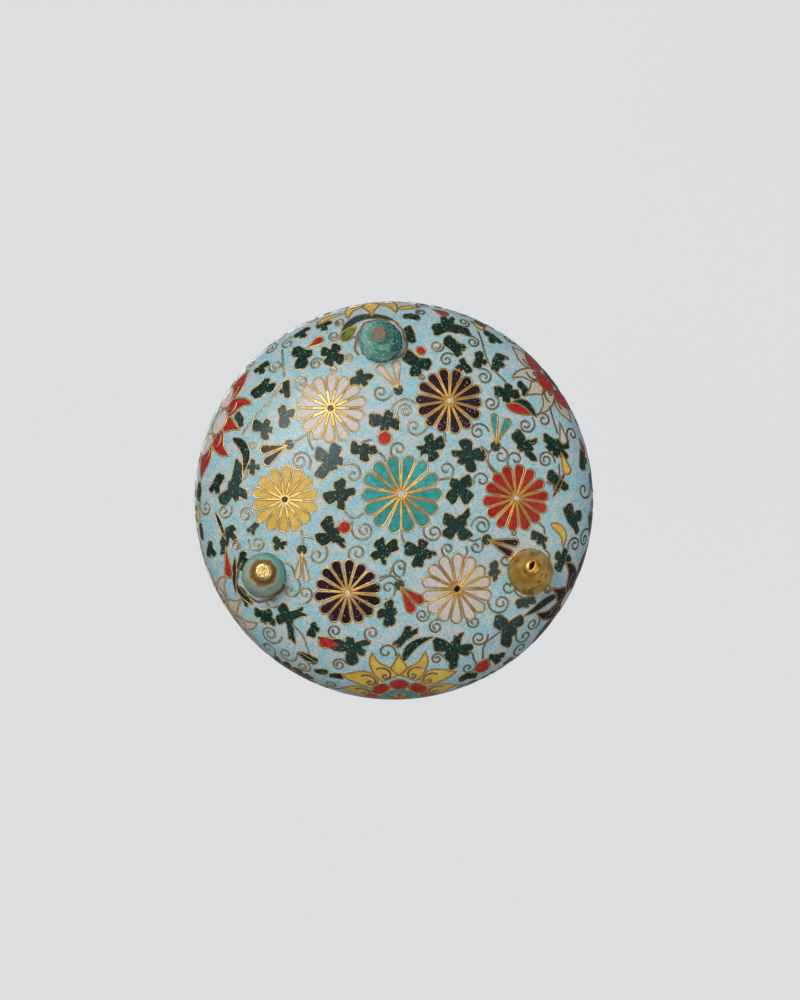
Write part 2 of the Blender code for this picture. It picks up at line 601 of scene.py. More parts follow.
def smooth_run(points: Sequence[tuple[float, float]], steps: int) -> np.ndarray:
    """A smooth curve through the points of an outline.

    Args:
        points: the outline's points, the first of them on the axis.
        steps: how many pieces each span is cut into.

    Returns:
        The curve's points.
    """
    run = np.array([(-points[1][0], points[1][1]), *points], float)
    last = 2 * run[-1] - run[-2]
    run = np.vstack([run, last])
    found = []
    for i in range(1, len(run) - 2):
        spans = [np.linalg.norm(run[i + k] - run[i + k - 1]) ** 0.5 for k in (0, 1, 2)]
        first = (run[i] - run[i - 1]) / spans[0] - (run[i + 1] - run[i - 1]) / (spans[0] + spans[1])
        first = (first + (run[i + 1] - run[i]) / spans[1]) * spans[1]
        second = (run[i + 1] - run[i]) / spans[1] - (run[i + 2] - run[i]) / (spans[1] + spans[2])
        second = (second + (run[i + 2] - run[i + 1]) / spans[2]) * spans[1]
        for t in np.linspace(0, 1, steps, endpoint=False):
            found.append(
                run[i] * (2 * t**3 - 3 * t**2 + 1)
                + first * (t**3 - 2 * t**2 + t)
                + run[i + 1] * (3 * t**2 - 2 * t**3)
                + second * (t**3 - t**2)
            )
    found.append(run[-2])
    curve = np.array(found)
    curve[:, 0] = np.clip(curve[:, 0], 0.0, max(point[0] for point in points))
    return curve


@dataclass
class Surface:
    """The bowl's outside, and the round plan that the pattern is drawn on. Lengths are in millimetres."""

    steps: int = 14
    start: float = 1.0
    lip_height: float = 3.2

    def __post_init__(self) -> None:
        """Reads the outline and works out each point's place on the plan."""
        outline = outline_of("vessel")
        top = max(height for _, height in outline)
        under_lip = next(i for i, point in enumerate(outline) if point[1] > top - self.lip_height)
        self.run = smooth_run(outline[: under_lip + 1], self.steps)
        self.lip_run = outline[under_lip:]
        along = np.linalg.norm(np.diff(self.run, axis=0), axis=1)
        self.length = np.concatenate([[0.0], np.cumsum(along)])
        tangent = np.gradient(self.run, self.length, axis=0)
        tangent /= np.linalg.norm(tangent, axis=1)[:, None]
        self.normal = np.stack([tangent[:, 1], -tangent[:, 0]], axis=1)
        self.normal[0] = (0.0, -1.0)
        radius = np.maximum(self.run[:, 0], TINY)
        growth = 0.5 * (1 / radius[1:] + 1 / radius[:-1]) * along
        begin = int(np.searchsorted(self.length, self.start))
        logs = np.full(len(radius), math.log(self.length[begin]))
        logs[begin + 1:] += np.cumsum(growth[begin:])
        self.reach = np.exp(logs)
        self.reach[:begin] = self.length[:begin]
        self.widest = int(np.argmax(self.run[:, 0]))

    @property
    def belt(self) -> float:
        """The plan's radius at the bowl's widest ring."""
        return float(self.reach[self.widest])

    @property
    def rim(self) -> float:
        """The plan's radius at the lip."""
        return float(self.reach[-1])

    def radius(self, points: Plan) -> np.ndarray:
        """The bowl's radius at points of the plan."""
        return np.interp(np.abs(points), self.reach, self.run[:, 0])

    def height(self, points: Plan) -> np.ndarray:
        """The bowl's height at points of the plan."""
        return np.interp(np.abs(points), self.reach, self.run[:, 1])

    def underside(self, x: float, y: float) -> float:
        """The height of the bowl's underside over a place on the ground."""
        lower = slice(0, self.widest + 1)
        return float(np.interp(math.hypot(x, y), self.run[lower, 0], self.run[lower, 1]))

    def scale(self, point: complex) -> float:
        """How many units of the plan one millimetre of the bowl takes at a point."""
        return float(max(abs(point), SMALL) / max(float(self.radius(np.array([point]))[0]), SMALL))

    def ring_at_height(self, height: float) -> float:
        """The plan's radius where the bowl, above its widest ring, reaches a height."""
        upper = slice(self.widest, None)
        return float(np.interp(height, self.run[upper, 1], self.reach[upper]))

    def normals(self, points: Plan) -> np.ndarray:
        """The bowl's outward normals.

        Args:
            points: points of the plan.

        Returns:
            A unit normal for each.
        """
        reach = np.abs(points)
        turn = points / np.maximum(reach, TINY)
        out = np.interp(reach, self.reach, self.normal[:, 0])
        up = np.interp(reach, self.reach, self.normal[:, 1])
        found = np.stack([out * turn.real, out * turn.imag, up], axis=1)
        return found / np.linalg.norm(found, axis=1)[:, None]

    def places(self, points: Plan, depth: float) -> np.ndarray:
        """Bends points of the plan onto the bowl.

        Args:
            points: points of the plan.
            depth: how far under the bowl's surface they go.

        Returns:
            Their places in space.
        """
        turn = points / np.maximum(np.abs(points), TINY)
        radius = self.radius(points)
        flat = np.stack([radius * turn.real, radius * turn.imag, self.height(points)], axis=1)
        return flat - self.normals(points) * depth


@dataclass
class Viewpoint:
    """The photograph's camera: it looks up from under the burner, with the front foot at the top."""

    distance: float = 1100.0
    tilt_back: float = math.radians(3.6)
    tilt_left: float = math.radians(0.5)
    belt_height: float = 30.5
    pixels_per_mm: float = 3.068
    shift_right: float = 1.96

    def __post_init__(self) -> None:
        """Works out the camera's place and directions."""
        self.aim = np.array([self.shift_right, 0.0, self.belt_height])
        back = np.array([-math.sin(self.tilt_left), math.sin(self.tilt_back), -math.cos(self.tilt_back)])
        self.eye = self.aim + back / np.linalg.norm(back) * self.distance
        self.ahead = (self.aim - self.eye) / self.distance
        top = np.array([0.0, -1.0, 0.0])
        self.right = np.cross(self.ahead, top)
        self.right /= np.linalg.norm(self.right)
        self.up = np.cross(self.right, self.ahead)
        self.focal = self.pixels_per_mm * self.distance

    def place(self) -> None:
        """Makes the camera."""
        data = bpy.data.cameras.new("photograph_view")
        data.sensor_width = 36.0
        data.lens = self.focal / IMAGE_HEIGHT * data.sensor_width
        data.clip_start = 0.05
        data.clip_end = 20.0
        made = bpy.data.objects.new("photograph_view", data)
        turned = Matrix((self.right, self.up, -self.ahead)).transposed()
        made.matrix_world = Matrix.Translation(Vector(self.eye * MM)) @ turned.to_4x4()
        bpy.context.scene.collection.objects.link(made)
        bpy.context.scene.camera = made

    def real_length(self, surface: Surface, point: complex, pixels: float) -> float:
        """The real length, in millimetres, of a length in the photograph at a point of the plan."""
        height = surface.height(np.array([point]))[0]
        return pixels * (self.distance + height - self.belt_height) / self.focal

    def to_plan(self, surface: Surface, pixels: Iterable[Pixel]) -> Plan:
        """Finds what the camera sees at pixels of the photograph.

        Args:
            surface: the bowl's outside.
            pixels: places in the photograph.

        Returns:
            Points of the plan, the nearest ones where a pixel misses the bowl.
        """
        spots = np.array(list(pixels), float).reshape(-1, 2)
        across = (spots[:, 0] - IMAGE_WIDTH / 2) / self.focal
        upward = (IMAGE_HEIGHT / 2 - spots[:, 1]) / self.focal
        rays = self.ahead + across[:, None] * self.right + upward[:, None] * self.up
        lengths = np.linspace(0, surface.length[surface.widest], 900)
        heights = np.interp(lengths, surface.length, surface.run[:, 1])
        radii = np.interp(lengths, surface.length, surface.run[:, 0])
        steps = (heights[None, :] - self.eye[2]) / rays[:, 2:3]
        x = self.eye[0] + rays[:, 0:1] * steps
        y = self.eye[1] + rays[:, 1:2] * steps
        outside = np.hypot(x, y) - radii[None, :]
        hit = outside <= 0
        index = np.where(hit.any(axis=1), hit.argmax(axis=1), outside.argmin(axis=1))
        before = np.maximum(index - 1, 0)
        rows = np.arange(len(spots))
        near, far = outside[rows, before], outside[rows, index]
        share = np.where((near > 0) & (far <= 0), near / np.maximum(near - far, TINY), 1.0)
        length = lengths[before] + (lengths[index] - lengths[before]) * share
        angle = np.arctan2(y[rows, index], x[rows, index])
        return np.interp(length, surface.length, surface.reach) * np.exp(1j * angle)


def even_run(points: Plan, spacing: float, closed: bool) -> Plan:
    """Points at even distances along a run.

    Args:
        points: the run.
        spacing: the distance wanted between them.
        closed: whether the run comes back to its start.

    Returns:
        The new points; a closed run doesn't repeat its first one.
    """
    run = np.append(points, points[0]) if closed else points
    length = np.concatenate([[0.0], np.cumsum(np.abs(np.diff(run)))])
    count = max(int(round(length[-1] / spacing)), 3 if closed else 1)
    wanted = np.linspace(0, length[-1], count + 1)
    found = np.interp(wanted, length, run.real) + 1j * np.interp(wanted, length, run.imag)
    return found[:-1] if closed else found


def thinned(points: Plan, closed: bool, turn: float = 0.26, longest: float = 1.0) -> Plan:
    """Leaves out points of an even run where it is nearly straight.

    Args:
        points: a finely spaced run, in millimetres.
        closed: whether the run comes back to its start.
        turn: the change of direction, in radians, after which a point is kept.
        longest: the longest step.

    Returns:
        The points kept.
    """
    steps = np.diff(np.append(points, points[0])) if closed else np.diff(points)
    kept = [0]
    bent = 0.0
    gone = 0.0
    for i in range(1, len(steps)):
        bent += abs(np.angle(steps[i] / steps[i - 1])) if abs(steps[i - 1]) > 0 else 0.0
        gone += abs(steps[i - 1])
        if bent > turn or gone > longest:
            kept.append(i)
            bent = 0.0
            gone = 0.0
    if not closed:
        kept.append(len(points) - 1)
    return points[kept]


def through(points: Plan, closed: bool = False, steps: int = 10) -> Plan:
    """A smooth curve through a few points, whose direction at each follows its two neighbours.

    Args:
        points: the points.
        closed: whether the curve comes back to its start.
        steps: how many pieces each span is cut into.

    Returns:
        The curve's points.
    """
    if len(points) < 3 and not closed:
        return np.linspace(points[0], points[-1], steps + 1)
    if closed:
        run = np.concatenate([points[-1:], points, points[:2]])
    else:
        run = np.concatenate([[2 * points[0] - points[1]], points, [2 * points[-1] - points[-2]]])
    found = []
    for a, b, c, d in zip(run, run[1:], run[2:], run[3:]):
        for t in np.linspace(0, 1, steps, endpoint=False):
            found.append(
                0.5 * (2 * b + (c - a) * t)
                + 0.5 * (2 * a - 5 * b + 4 * c - d) * t**2
                + 0.5 * (3 * b - a - 3 * c + d) * t**3
            )
    if not closed:
        found.append(run[-2])
    return np.array(found)


def contains(outline: Plan, points: Plan) -> np.ndarray:
    """Says which points lie inside a closed outline.

    Args:
        outline: the outline's points.
        points: the points asked about.

    Returns:
        True for each point inside.
    """
    x, y = points.real[:, None], points.imag[:, None]
    x1, y1 = outline.real[None, :], outline.imag[None, :]
    x2, y2 = np.roll(x1, -1), np.roll(y1, -1)
    spans = (y1 > y) != (y2 > y)
    rise = np.where(np.abs(y2 - y1) < 1e-12, 1e-12, y2 - y1)
    left = x < (x2 - x1) * (y - y1) / rise + x1
    return (spans & left).sum(axis=1) % 2 == 1


@dataclass
class Cell:
    """One field of enamel, closed by a wire."""

    outline: Plan
    glaze: Glaze
    tone: float = 0.0
    wired: bool = True
    joined_to: "Cell | None" = None

    def __post_init__(self) -> None:
        """Notes the outline's box."""
        self.low = self.outline.real.min() + 1j * self.outline.imag.min()
        self.high = self.outline.real.max() + 1j * self.outline.imag.max()

    def near(self, points: Plan) -> np.ndarray:
        """Says which points lie in the outline's box."""
        across = (points.real >= self.low.real) & (points.real <= self.high.real)
        return across & (points.imag >= self.low.imag) & (points.imag <= self.high.imag)

    def holds(self, points: Plan) -> np.ndarray:
        """Says which points lie in the cell.

        Args:
            points: points of the plan.

        Returns:
            True for each point inside.
        """
        found = self.near(points)
        if found.any():
            index = np.flatnonzero(found)
            found[index] = contains(self.outline, points[index])
        return found


@dataclass
class Stroke:
    """One open wire. It shows only on the cell that it was drawn for, or on the ground."""

    run: Plan
    host: Cell | None = None


@dataclass
class Spot:
    """A place on the plan where a motif is drawn at real size, in millimetres."""

    middle: complex
    scale: float

    def lay(self, shape: Plan) -> Plan:
        """Moves a shape, drawn in millimetres round its own middle, to its place on the plan."""
        return self.middle + self.scale * shape

    def local(self, points: Plan) -> Plan:
        """Points of the plan as seen from the motif's middle, in millimetres."""
        return (points - self.middle) / self.scale


@dataclass
class Pattern:
    """All cells and wires of the cloisonne, drawn one over the other."""

    surface: Surface
    outline_step: float = 0.22
    wire_step: float = 0.2
    ground_step: float = 0.9
    grounds: list[Cell] = field(default_factory=list)
    cells: list[Cell] = field(default_factory=list)
    strokes: list[Stroke] = field(default_factory=list)

    def spot(self, middle: complex) -> Spot:
        """A place for a motif."""
        return Spot(middle, self.surface.scale(middle))

    def add(self, spot: Spot, shape: Plan, glaze: Glaze, **extra: object) -> Cell:
        """Adds a cell.

        Args:
            spot: where it goes.
            shape: its outline in millimetres.
            glaze: its enamel.
            extra: the cell's other fields.

        Returns:
            The cell.
        """
        if np.sum(np.imag(shape.conjugate() * np.roll(shape, -1))) < 0:
            shape = shape[::-1]
        outline = spot.lay(thinned(even_run(shape, self.outline_step, True), True))
        cell = Cell(outline, glaze, **extra)
        self.cells.append(cell)
        return cell

    def draw(self, spot: Spot, shape: Plan, host: Cell | None = None) -> None:
        """Adds an open wire.

        Args:
            spot: where it goes.
            shape: its run in millimetres.
            host: the only cell that it shows on, if it isn't for the ground.
        """
        if len(shape) > 1:
            run = thinned(even_run(shape, self.wire_step, False), False)
            self.strokes.append(Stroke(spot.lay(run), host))

    def on_ground(self, points: Plan) -> np.ndarray:
        """Says which points no cell covers.

        Args:
            points: points of the plan.

        Returns:
            True for each point on the ground.
        """
        free = np.ones(len(points), bool)
        for cell in self.cells:
            free &= ~cell.holds(points)
        return free

    def ground_ring(self, reach: float, glaze: Glaze) -> None:
        """Adds a round ground; smaller ones go over larger ones."""
        count = int(TURN * float(self.surface.radius(np.array([reach]))[0]) / self.ground_step)
        self.grounds.append(Cell(reach * circle(count), glaze))


def capsule_reach(angles: np.ndarray, direction: float, length: float, width: float) -> np.ndarray:
    """How far a round-ended lobe reaches from a leaf's middle, in each direction.

    Args:
        angles: the directions asked for.
        direction: where the lobe points.
        length: from the leaf's middle to the lobe's tip.
        width: the lobe's half width.

    Returns:
        The distances.
    """
    inner = max(length - width, SMALL)
    off = np.abs((angles - direction + math.pi) % TURN - math.pi)
    sine, cosine = np.sin(off), np.cos(off)
    end = inner * cosine + np.sqrt(np.maximum(width**2 - (inner * sine) ** 2, 0.0))
    side = width / np.maximum(sine, SMALL)
    return np.where(inner * sine < width * cosine, end, np.where(cosine > 0, side, width))


# A lobe's three rounds: each one's share of the lobe's skew, of its length and of its width.
LOBE_ROUNDS = ((0.0, 0.95, 0.95), (1.0, 1.04, 0.50), (-1.0, 0.90, 0.70))

# How tightly lobes blend, how far a lobe's tip hooks aside, and the turns between lobes that get a notch.
LEAF_BLEND = 11.0
LOBE_HOOK = 0.55
NOTCH_TURNS = (0.6, 2.2)


def leaf_shape(tips: Plan, width: float, cut: float = 0.29, narrow: float = 0.15) -> Plan:
    """A lobed leaf round its middle, with a small tight notch between lobes that are close.

    Args:
        tips: the tips of its lobes, in millimetres.
        width: the greatest half width of a lobe.
        cut: how much deeper a notch goes, as a share of the leaf's reach there.
        narrow: half a notch's width, in radians.

    Returns:
        The outline.
    """
    angles = np.linspace(0, TURN, 180, endpoint=False)
    tips = tips[np.argsort(np.angle(tips))]
    total = np.zeros(len(angles))
    hook = LOBE_HOOK
    for before, tip, after in zip(np.roll(tips, 1), tips, np.roll(tips, -1)):
        length = max(abs(tip), 1.2)
        gap = min(abs(tip - before), abs(tip - after)) if len(tips) > 1 else 2 * width
        half = min(max(0.45 * gap, 0.9), width, 0.47 * length)
        turn = float(np.angle(tip))
        if length > 3.2 * half:
            half *= 0.72
            total += capsule_reach(angles, turn, 0.62 * length, 1.45 * half) ** LEAF_BLEND
        skew = hook * half / length
        hook = -hook
        for side, long, wide in LOBE_ROUNDS:
            total += capsule_reach(angles, turn + side * skew, long * length, half * wide) ** LEAF_BLEND
    reach = total ** (1 / LEAF_BLEND)
    turns = np.angle(tips)
    for first, second in zip(turns, np.append(turns[1:], turns[0] + TURN)):
        if NOTCH_TURNS[0] < second - first < NOTCH_TURNS[1]:
            off = np.abs((angles - (first + second) / 2 + math.pi) % TURN - math.pi)
            reach = reach * (1 - cut * np.exp(-((off / narrow) ** 2)))
    wavy = 1 + 0.022 * np.sin(13 * angles + 2 * turns[0]) + 0.02 * np.sin(8 * angles - turns[0])
    return reach * wavy * np.exp(1j * angles)


def petal_shape(tip: float, middle: float, end: float, direction: float, blunt: float = 0.0) -> Plan:
    """A drop with a narrow tip and a round end.

    Args:
        tip: the pointed tip's distance from the origin.
        middle: the distance of the round end's middle.
        end: the round end's radius.
        direction: where it points.
        blunt: half the tip's width, or zero for a sharp tip.

    Returns:
        The outline.
    """
    half = math.pi - math.acos(min((end - blunt) / (middle - tip), 1.0))
    arc = middle + end * np.exp(1j * np.linspace(-half, half, 24))
    corners = [tip + 1j * blunt, tip - 1j * blunt] if blunt else [tip]
    return np.append(arc, corners) * np.exp(1j * direction)


def blade_shape(spine: Plan, width: float, fullest: float = 0.4) -> Plan:
    """A long blade, pointed at both ends, along a curve.

    Args:
        spine: the curve's points.
        width: half its greatest width.
        fullest: where along it that is, 0 to 1.

    Returns:
        The outline.
    """
    run = even_run(spine, 0.4, False)
    share = np.linspace(0, 1, len(run))
    bend = math.log(0.5) / math.log(fullest)
    half = width * np.sin(math.pi * share**bend) ** 0.85
    along = np.gradient(run)
    side = 1j * along / np.maximum(np.abs(along), TINY)
    return np.concatenate([run + side * half, (run - side * half)[::-1][1:-1]])


def horn_shape(inner: Sequence[complex], outer: Sequence[complex]) -> Plan:
    """A petal with two smooth edges that meet in a sharp tip.

    Args:
        inner: points of one edge, from the base to the tip.
        outer: points of the other edge, from the tip back to the base.

    Returns:
        The outline.
    """
    there = through(np.array(inner, complex))
    back = through(np.array(outer, complex))
    return np.concatenate([there, back[1:]])


def curl(middle: complex, start: complex, size: float, turns: float, inner: float = 0.28) -> Plan:
    """A tendril: a curve from a start that winds in round its middle.

    Args:
        middle: the middle of the curl.
        start: where the curve begins.
        size: the curl's radius.
        turns: how many times it goes round, less than nought for the other way.
        inner: where it ends, as a share of its radius.

    Returns:
        The curve.
    """
    share = np.linspace(0, 1, int(34 * abs(turns)) + 8)
    offset = start - middle
    lead = max(abs(offset) - size, 0.0)
    outer = min(abs(offset), size)
    radius = outer + (size * inner - outer) * share**0.9 + lead * (1 - share) ** 4
    return middle + radius * np.exp(1j * (np.angle(offset) + TURN * turns * share))


@dataclass
class BeltSpot(Spot):
    """A place near the widest ring for a large motif, upright towards the bowl's lowest point."""

    radius: float = 65.0

    def lay(self, shape: Plan) -> Plan:
        """Moves a shape to its place, bent round the bowl."""
        return self.middle * np.exp((-shape.imag + 1j * shape.real) / self.radius)


@dataclass(frozen=True)
class Bloom:
    """A chrysanthemum: its middle and radius, in pixels of the photograph, and its turn in degrees."""

    middle: Pixel
    radius: float
    glaze: Glaze
    eye: Glaze
    turn: float


@dataclass(frozen=True)
class Leaf:
    """A lobed leaf: its middle and the tips of its lobes, in pixels of the photograph."""

    middle: Pixel
    tips: tuple[Pixel, ...] = ()
    tone: float = 0.0
    width: float = 2.3


@dataclass(frozen=True)
class Bud:
    """Two slim petals from a dark cap, in pixels of the photograph."""

    cap: Pixel
    ends: tuple[Pixel, Pixel]
    glaze: Glaze
    width: float = 1.25


@dataclass(frozen=True)
class Drop:
    """A small pointed drop of colour from its tip to its round end, in pixels of the photograph."""

    tip: Pixel
    end: Pixel
    glaze: Glaze = Glaze.RED
    width: float = 1.5
    joined: bool = False


@dataclass(frozen=True)
class Blade:
    """A long pointed leaf or sepal along a few pixels of the photograph."""

    spine: tuple[Pixel, ...]
    width: float = 1.5
    glaze: Glaze = Glaze.LEAF
    tone: float = 0.0


@dataclass(frozen=True)
class Tendril:
    """A curled wire: its middle, in pixels of the photograph, and its radius in millimetres."""

    middle: Pixel
    size: float = 2.5
    turns: float = 1.5
    start: Pixel | None = None


@dataclass(frozen=True)
class Lotus:
    """A large lotus on the bowl's side, placed by its innermost point in pixels of the photograph."""

    inner: Pixel
    petals: Glaze
    band: Glaze
    heart: Glaze
    size: float
    band_reach: float
    tone: float = 0.15
    wide: float = 1.0

    def mirrored(self, points: Sequence[complex], across: int, along: int) -> Plan:
        """A petal's points at the lotus's size, mirrored across and along as the petal lies."""
        run = self.size * np.array(points)
        return across * self.wide * run.real + 1j * along * run.imag


@dataclass(frozen=True)
class LotusHeart:
    """The heart of every lotus, in millimetres; it grows with the reach of the lotus's band."""

    band: float = 9.3
    ovals: int = 8
    oval: tuple[float, float] = (2.55, 3.55)
    disc: float = 6.6
    core: float = 4.0
    seeds: int = 6
    seed: tuple[float, float, float] = (1.2, 2.7, 0.85)

    def draw(self, pattern: Pattern, spot: Spot, mark: Lotus) -> None:
        """Draws the heart: a band of round petals, a disc and a core with seeds.

        Args:
            pattern: what it is drawn on.
            spot: the lotus's place.
            mark: its colours and the reach of its band.
        """
        share = mark.band_reach / self.band
        turns = np.linspace(0, TURN, 32, endpoint=False)
        ring = np.exp(1j * turns)
        wide, long = self.oval
        for i in range(self.ovals):
            place = 1j * self.band * np.exp(1j * TURN * i / self.ovals)
            oval = (wide * np.cos(turns) + 1j * long * np.sin(turns)) * np.exp(1j * np.angle(place)) + place
            pattern.add(spot, share * oval, mark.band, tone=0.15)
        pattern.add(spot, share * self.disc * ring, mark.heart)
        pattern.add(spot, share * self.core * ring, mark.band)
        for i in range(self.seeds):
            pattern.add(spot, share * petal_shape(*self.seed, TURN * i / self.seeds), mark.petals)
        pattern.add(spot, share * ring, mark.heart)


BLOOM_PETALS = 14

BLOOMS = (
    Bloom((401, 494.2), 40.5, Glaze.TURQUOISE, Glaze.WHITE, 0.5),
    Bloom((330.5, 408), 35, Glaze.WHITE, Glaze.AUBERGINE, 12),
    Bloom((449.5, 400.5), 34, Glaze.AUBERGINE, Glaze.WHITE, 23.4),
    Bloom((284.5, 499.5), 33.5, Glaze.YELLOW, Glaze.AUBERGINE, 10),
    Bloom((516.5, 498), 33.5, Glaze.RED, Glaze.WHITE, 6),
    Bloom((457, 589), 35.5, Glaze.WHITE, Glaze.AUBERGINE, 13),
    Bloom((347.6, 592.6), 33.5, Glaze.AUBERGINE, Glaze.WHITE, 9.5),
)

LOTUS_PETALS = (
    (
        (0.5 + 13.4j, 3.2 + 16.3j, 5.3 + 17.5j, 8.0 + 18.8j, 11.0 + 22.6j),
        (11.0 + 22.6j, 11.5 + 18.8j, 10.2 + 15.2j, 8.4 + 12.6j, 6.0 + 10.3j),
        (5.2 + 12.9j, 8.6 + 15.6j),
    ),
    (
        (7.4 + 11.2j, 9.8 + 13.4j, 11.9 + 14.0j, 14.6 + 13.6j, 17.3 + 12.2j, 20.4 + 10.2j),
        (20.4 + 10.2j, 17.2 + 8.6j, 14.0 + 7.8j, 10.8 + 7.0j, 8.4 + 5.4j),
        (10.3 + 9.4j, 13.8 + 11.6j),
    ),
    (
        (9.0 + 4.2j, 11.4 + 6.2j, 14.0 + 6.6j, 16.6 + 5.6j, 19.4 + 3.2j),
        (19.4 + 3.2j, 16.2 + 1.6j, 12.8 + 0.8j, 9.6 - 0.6j),
        (11.6 + 2.9j, 14.8 + 4.6j),
    ),
)
LOTUS_CALYX = (23.2j, 1.0 + 20.4j, 3.2 + 16.5j, 1.4 + 14.4j, 13.2j)

BUDS = (
    Bud((288, 445), ((260, 450), (264, 464)), Glaze.AUBERGINE, 1.5),
    Bud((398, 389), ((378, 366), (396, 361)), Glaze.WHITE),
    Bud((496, 445), ((494, 414), (509, 419)), Glaze.TURQUOISE),
    Bud((302, 551), ((297, 578), (307, 581)), Glaze.WHITE, 1.0),
    Bud((400, 586), ((413, 613), (423.5, 603)), Glaze.RED, 1.6),
    Bud((488, 540), ((519, 543), (512.5, 555)), Glaze.AUBERGINE),
)

DROPS = (
    Drop((386, 430), (384, 443.5), width=2.2, joined=True),
    Drop((338, 531), (349.5, 524.5), width=2.0, joined=True),
    Drop((417, 347), (424, 353)),
    Drop((308, 347), (323, 337.5), width=1.6),
    Drop((560, 422), (564.5, 444), Glaze.WHITE, 1.5),
    Drop((579.5, 438), (584.5, 452), width=1.3),
    Drop((487, 659), (479, 673), width=2.7),
    Drop((225.5, 546), (229, 578), width=1.6),
    Drop((340, 646), (318.5, 641), width=2.0, joined=True),
    Drop((561, 452), (568.5, 474), Glaze.YELLOW, 1.6),
    Drop((198.5, 503), (197.5, 521), Glaze.YELLOW, 1.6),
    Drop((471, 321), (484, 329), Glaze.YELLOW, 1.5),
    Drop((433, 309), (448, 315), width=1.6),
)

BLADES = (
    Blade(((342, 338), (347, 326), (362, 317), (384, 317), (402, 326)), 1.5, tone=0.4),
    Blade(((343, 342), (348, 333), (356, 326)), 1.9, Glaze.LIME),
    Blade(((317, 323.5), (328, 317.5), (343, 313.5)), 1.2, Glaze.YELLOW),
    Blade(((398, 308.5), (408, 307), (420, 307)), 1.1, Glaze.YELLOW),
    Blade(((236, 584), (243, 594), (252, 605)), 1.5),
    Blade(((512, 402), (526, 404.5), (538, 418)), 1.5),
    Blade(((506, 405), (518, 408.5), (532, 414.5)), 1.7, Glaze.RED),
    Blade(((232, 438), (241, 444), (246, 456), (243, 474)), 1.6),
    Blade(((403, 662), (409, 650), (419, 642), (434, 637)), 1.5),
    Blade(((551, 524), (560, 529), (564, 537), (563, 547)), 1.3, Glaze.YELLOW),
    Blade(((235, 557), (234, 578), (236, 596)), 0.8),
    Blade(((559, 594), (547, 601), (536, 609), (523, 617)), 1.4),
    Blade(((215, 512), (221, 527), (226, 541)), 0.8),
    Blade(((297, 652), (306, 659), (317, 663)), 0.9),
    Blade(((553, 497), (561, 482), (566, 470)), 0.7),
)

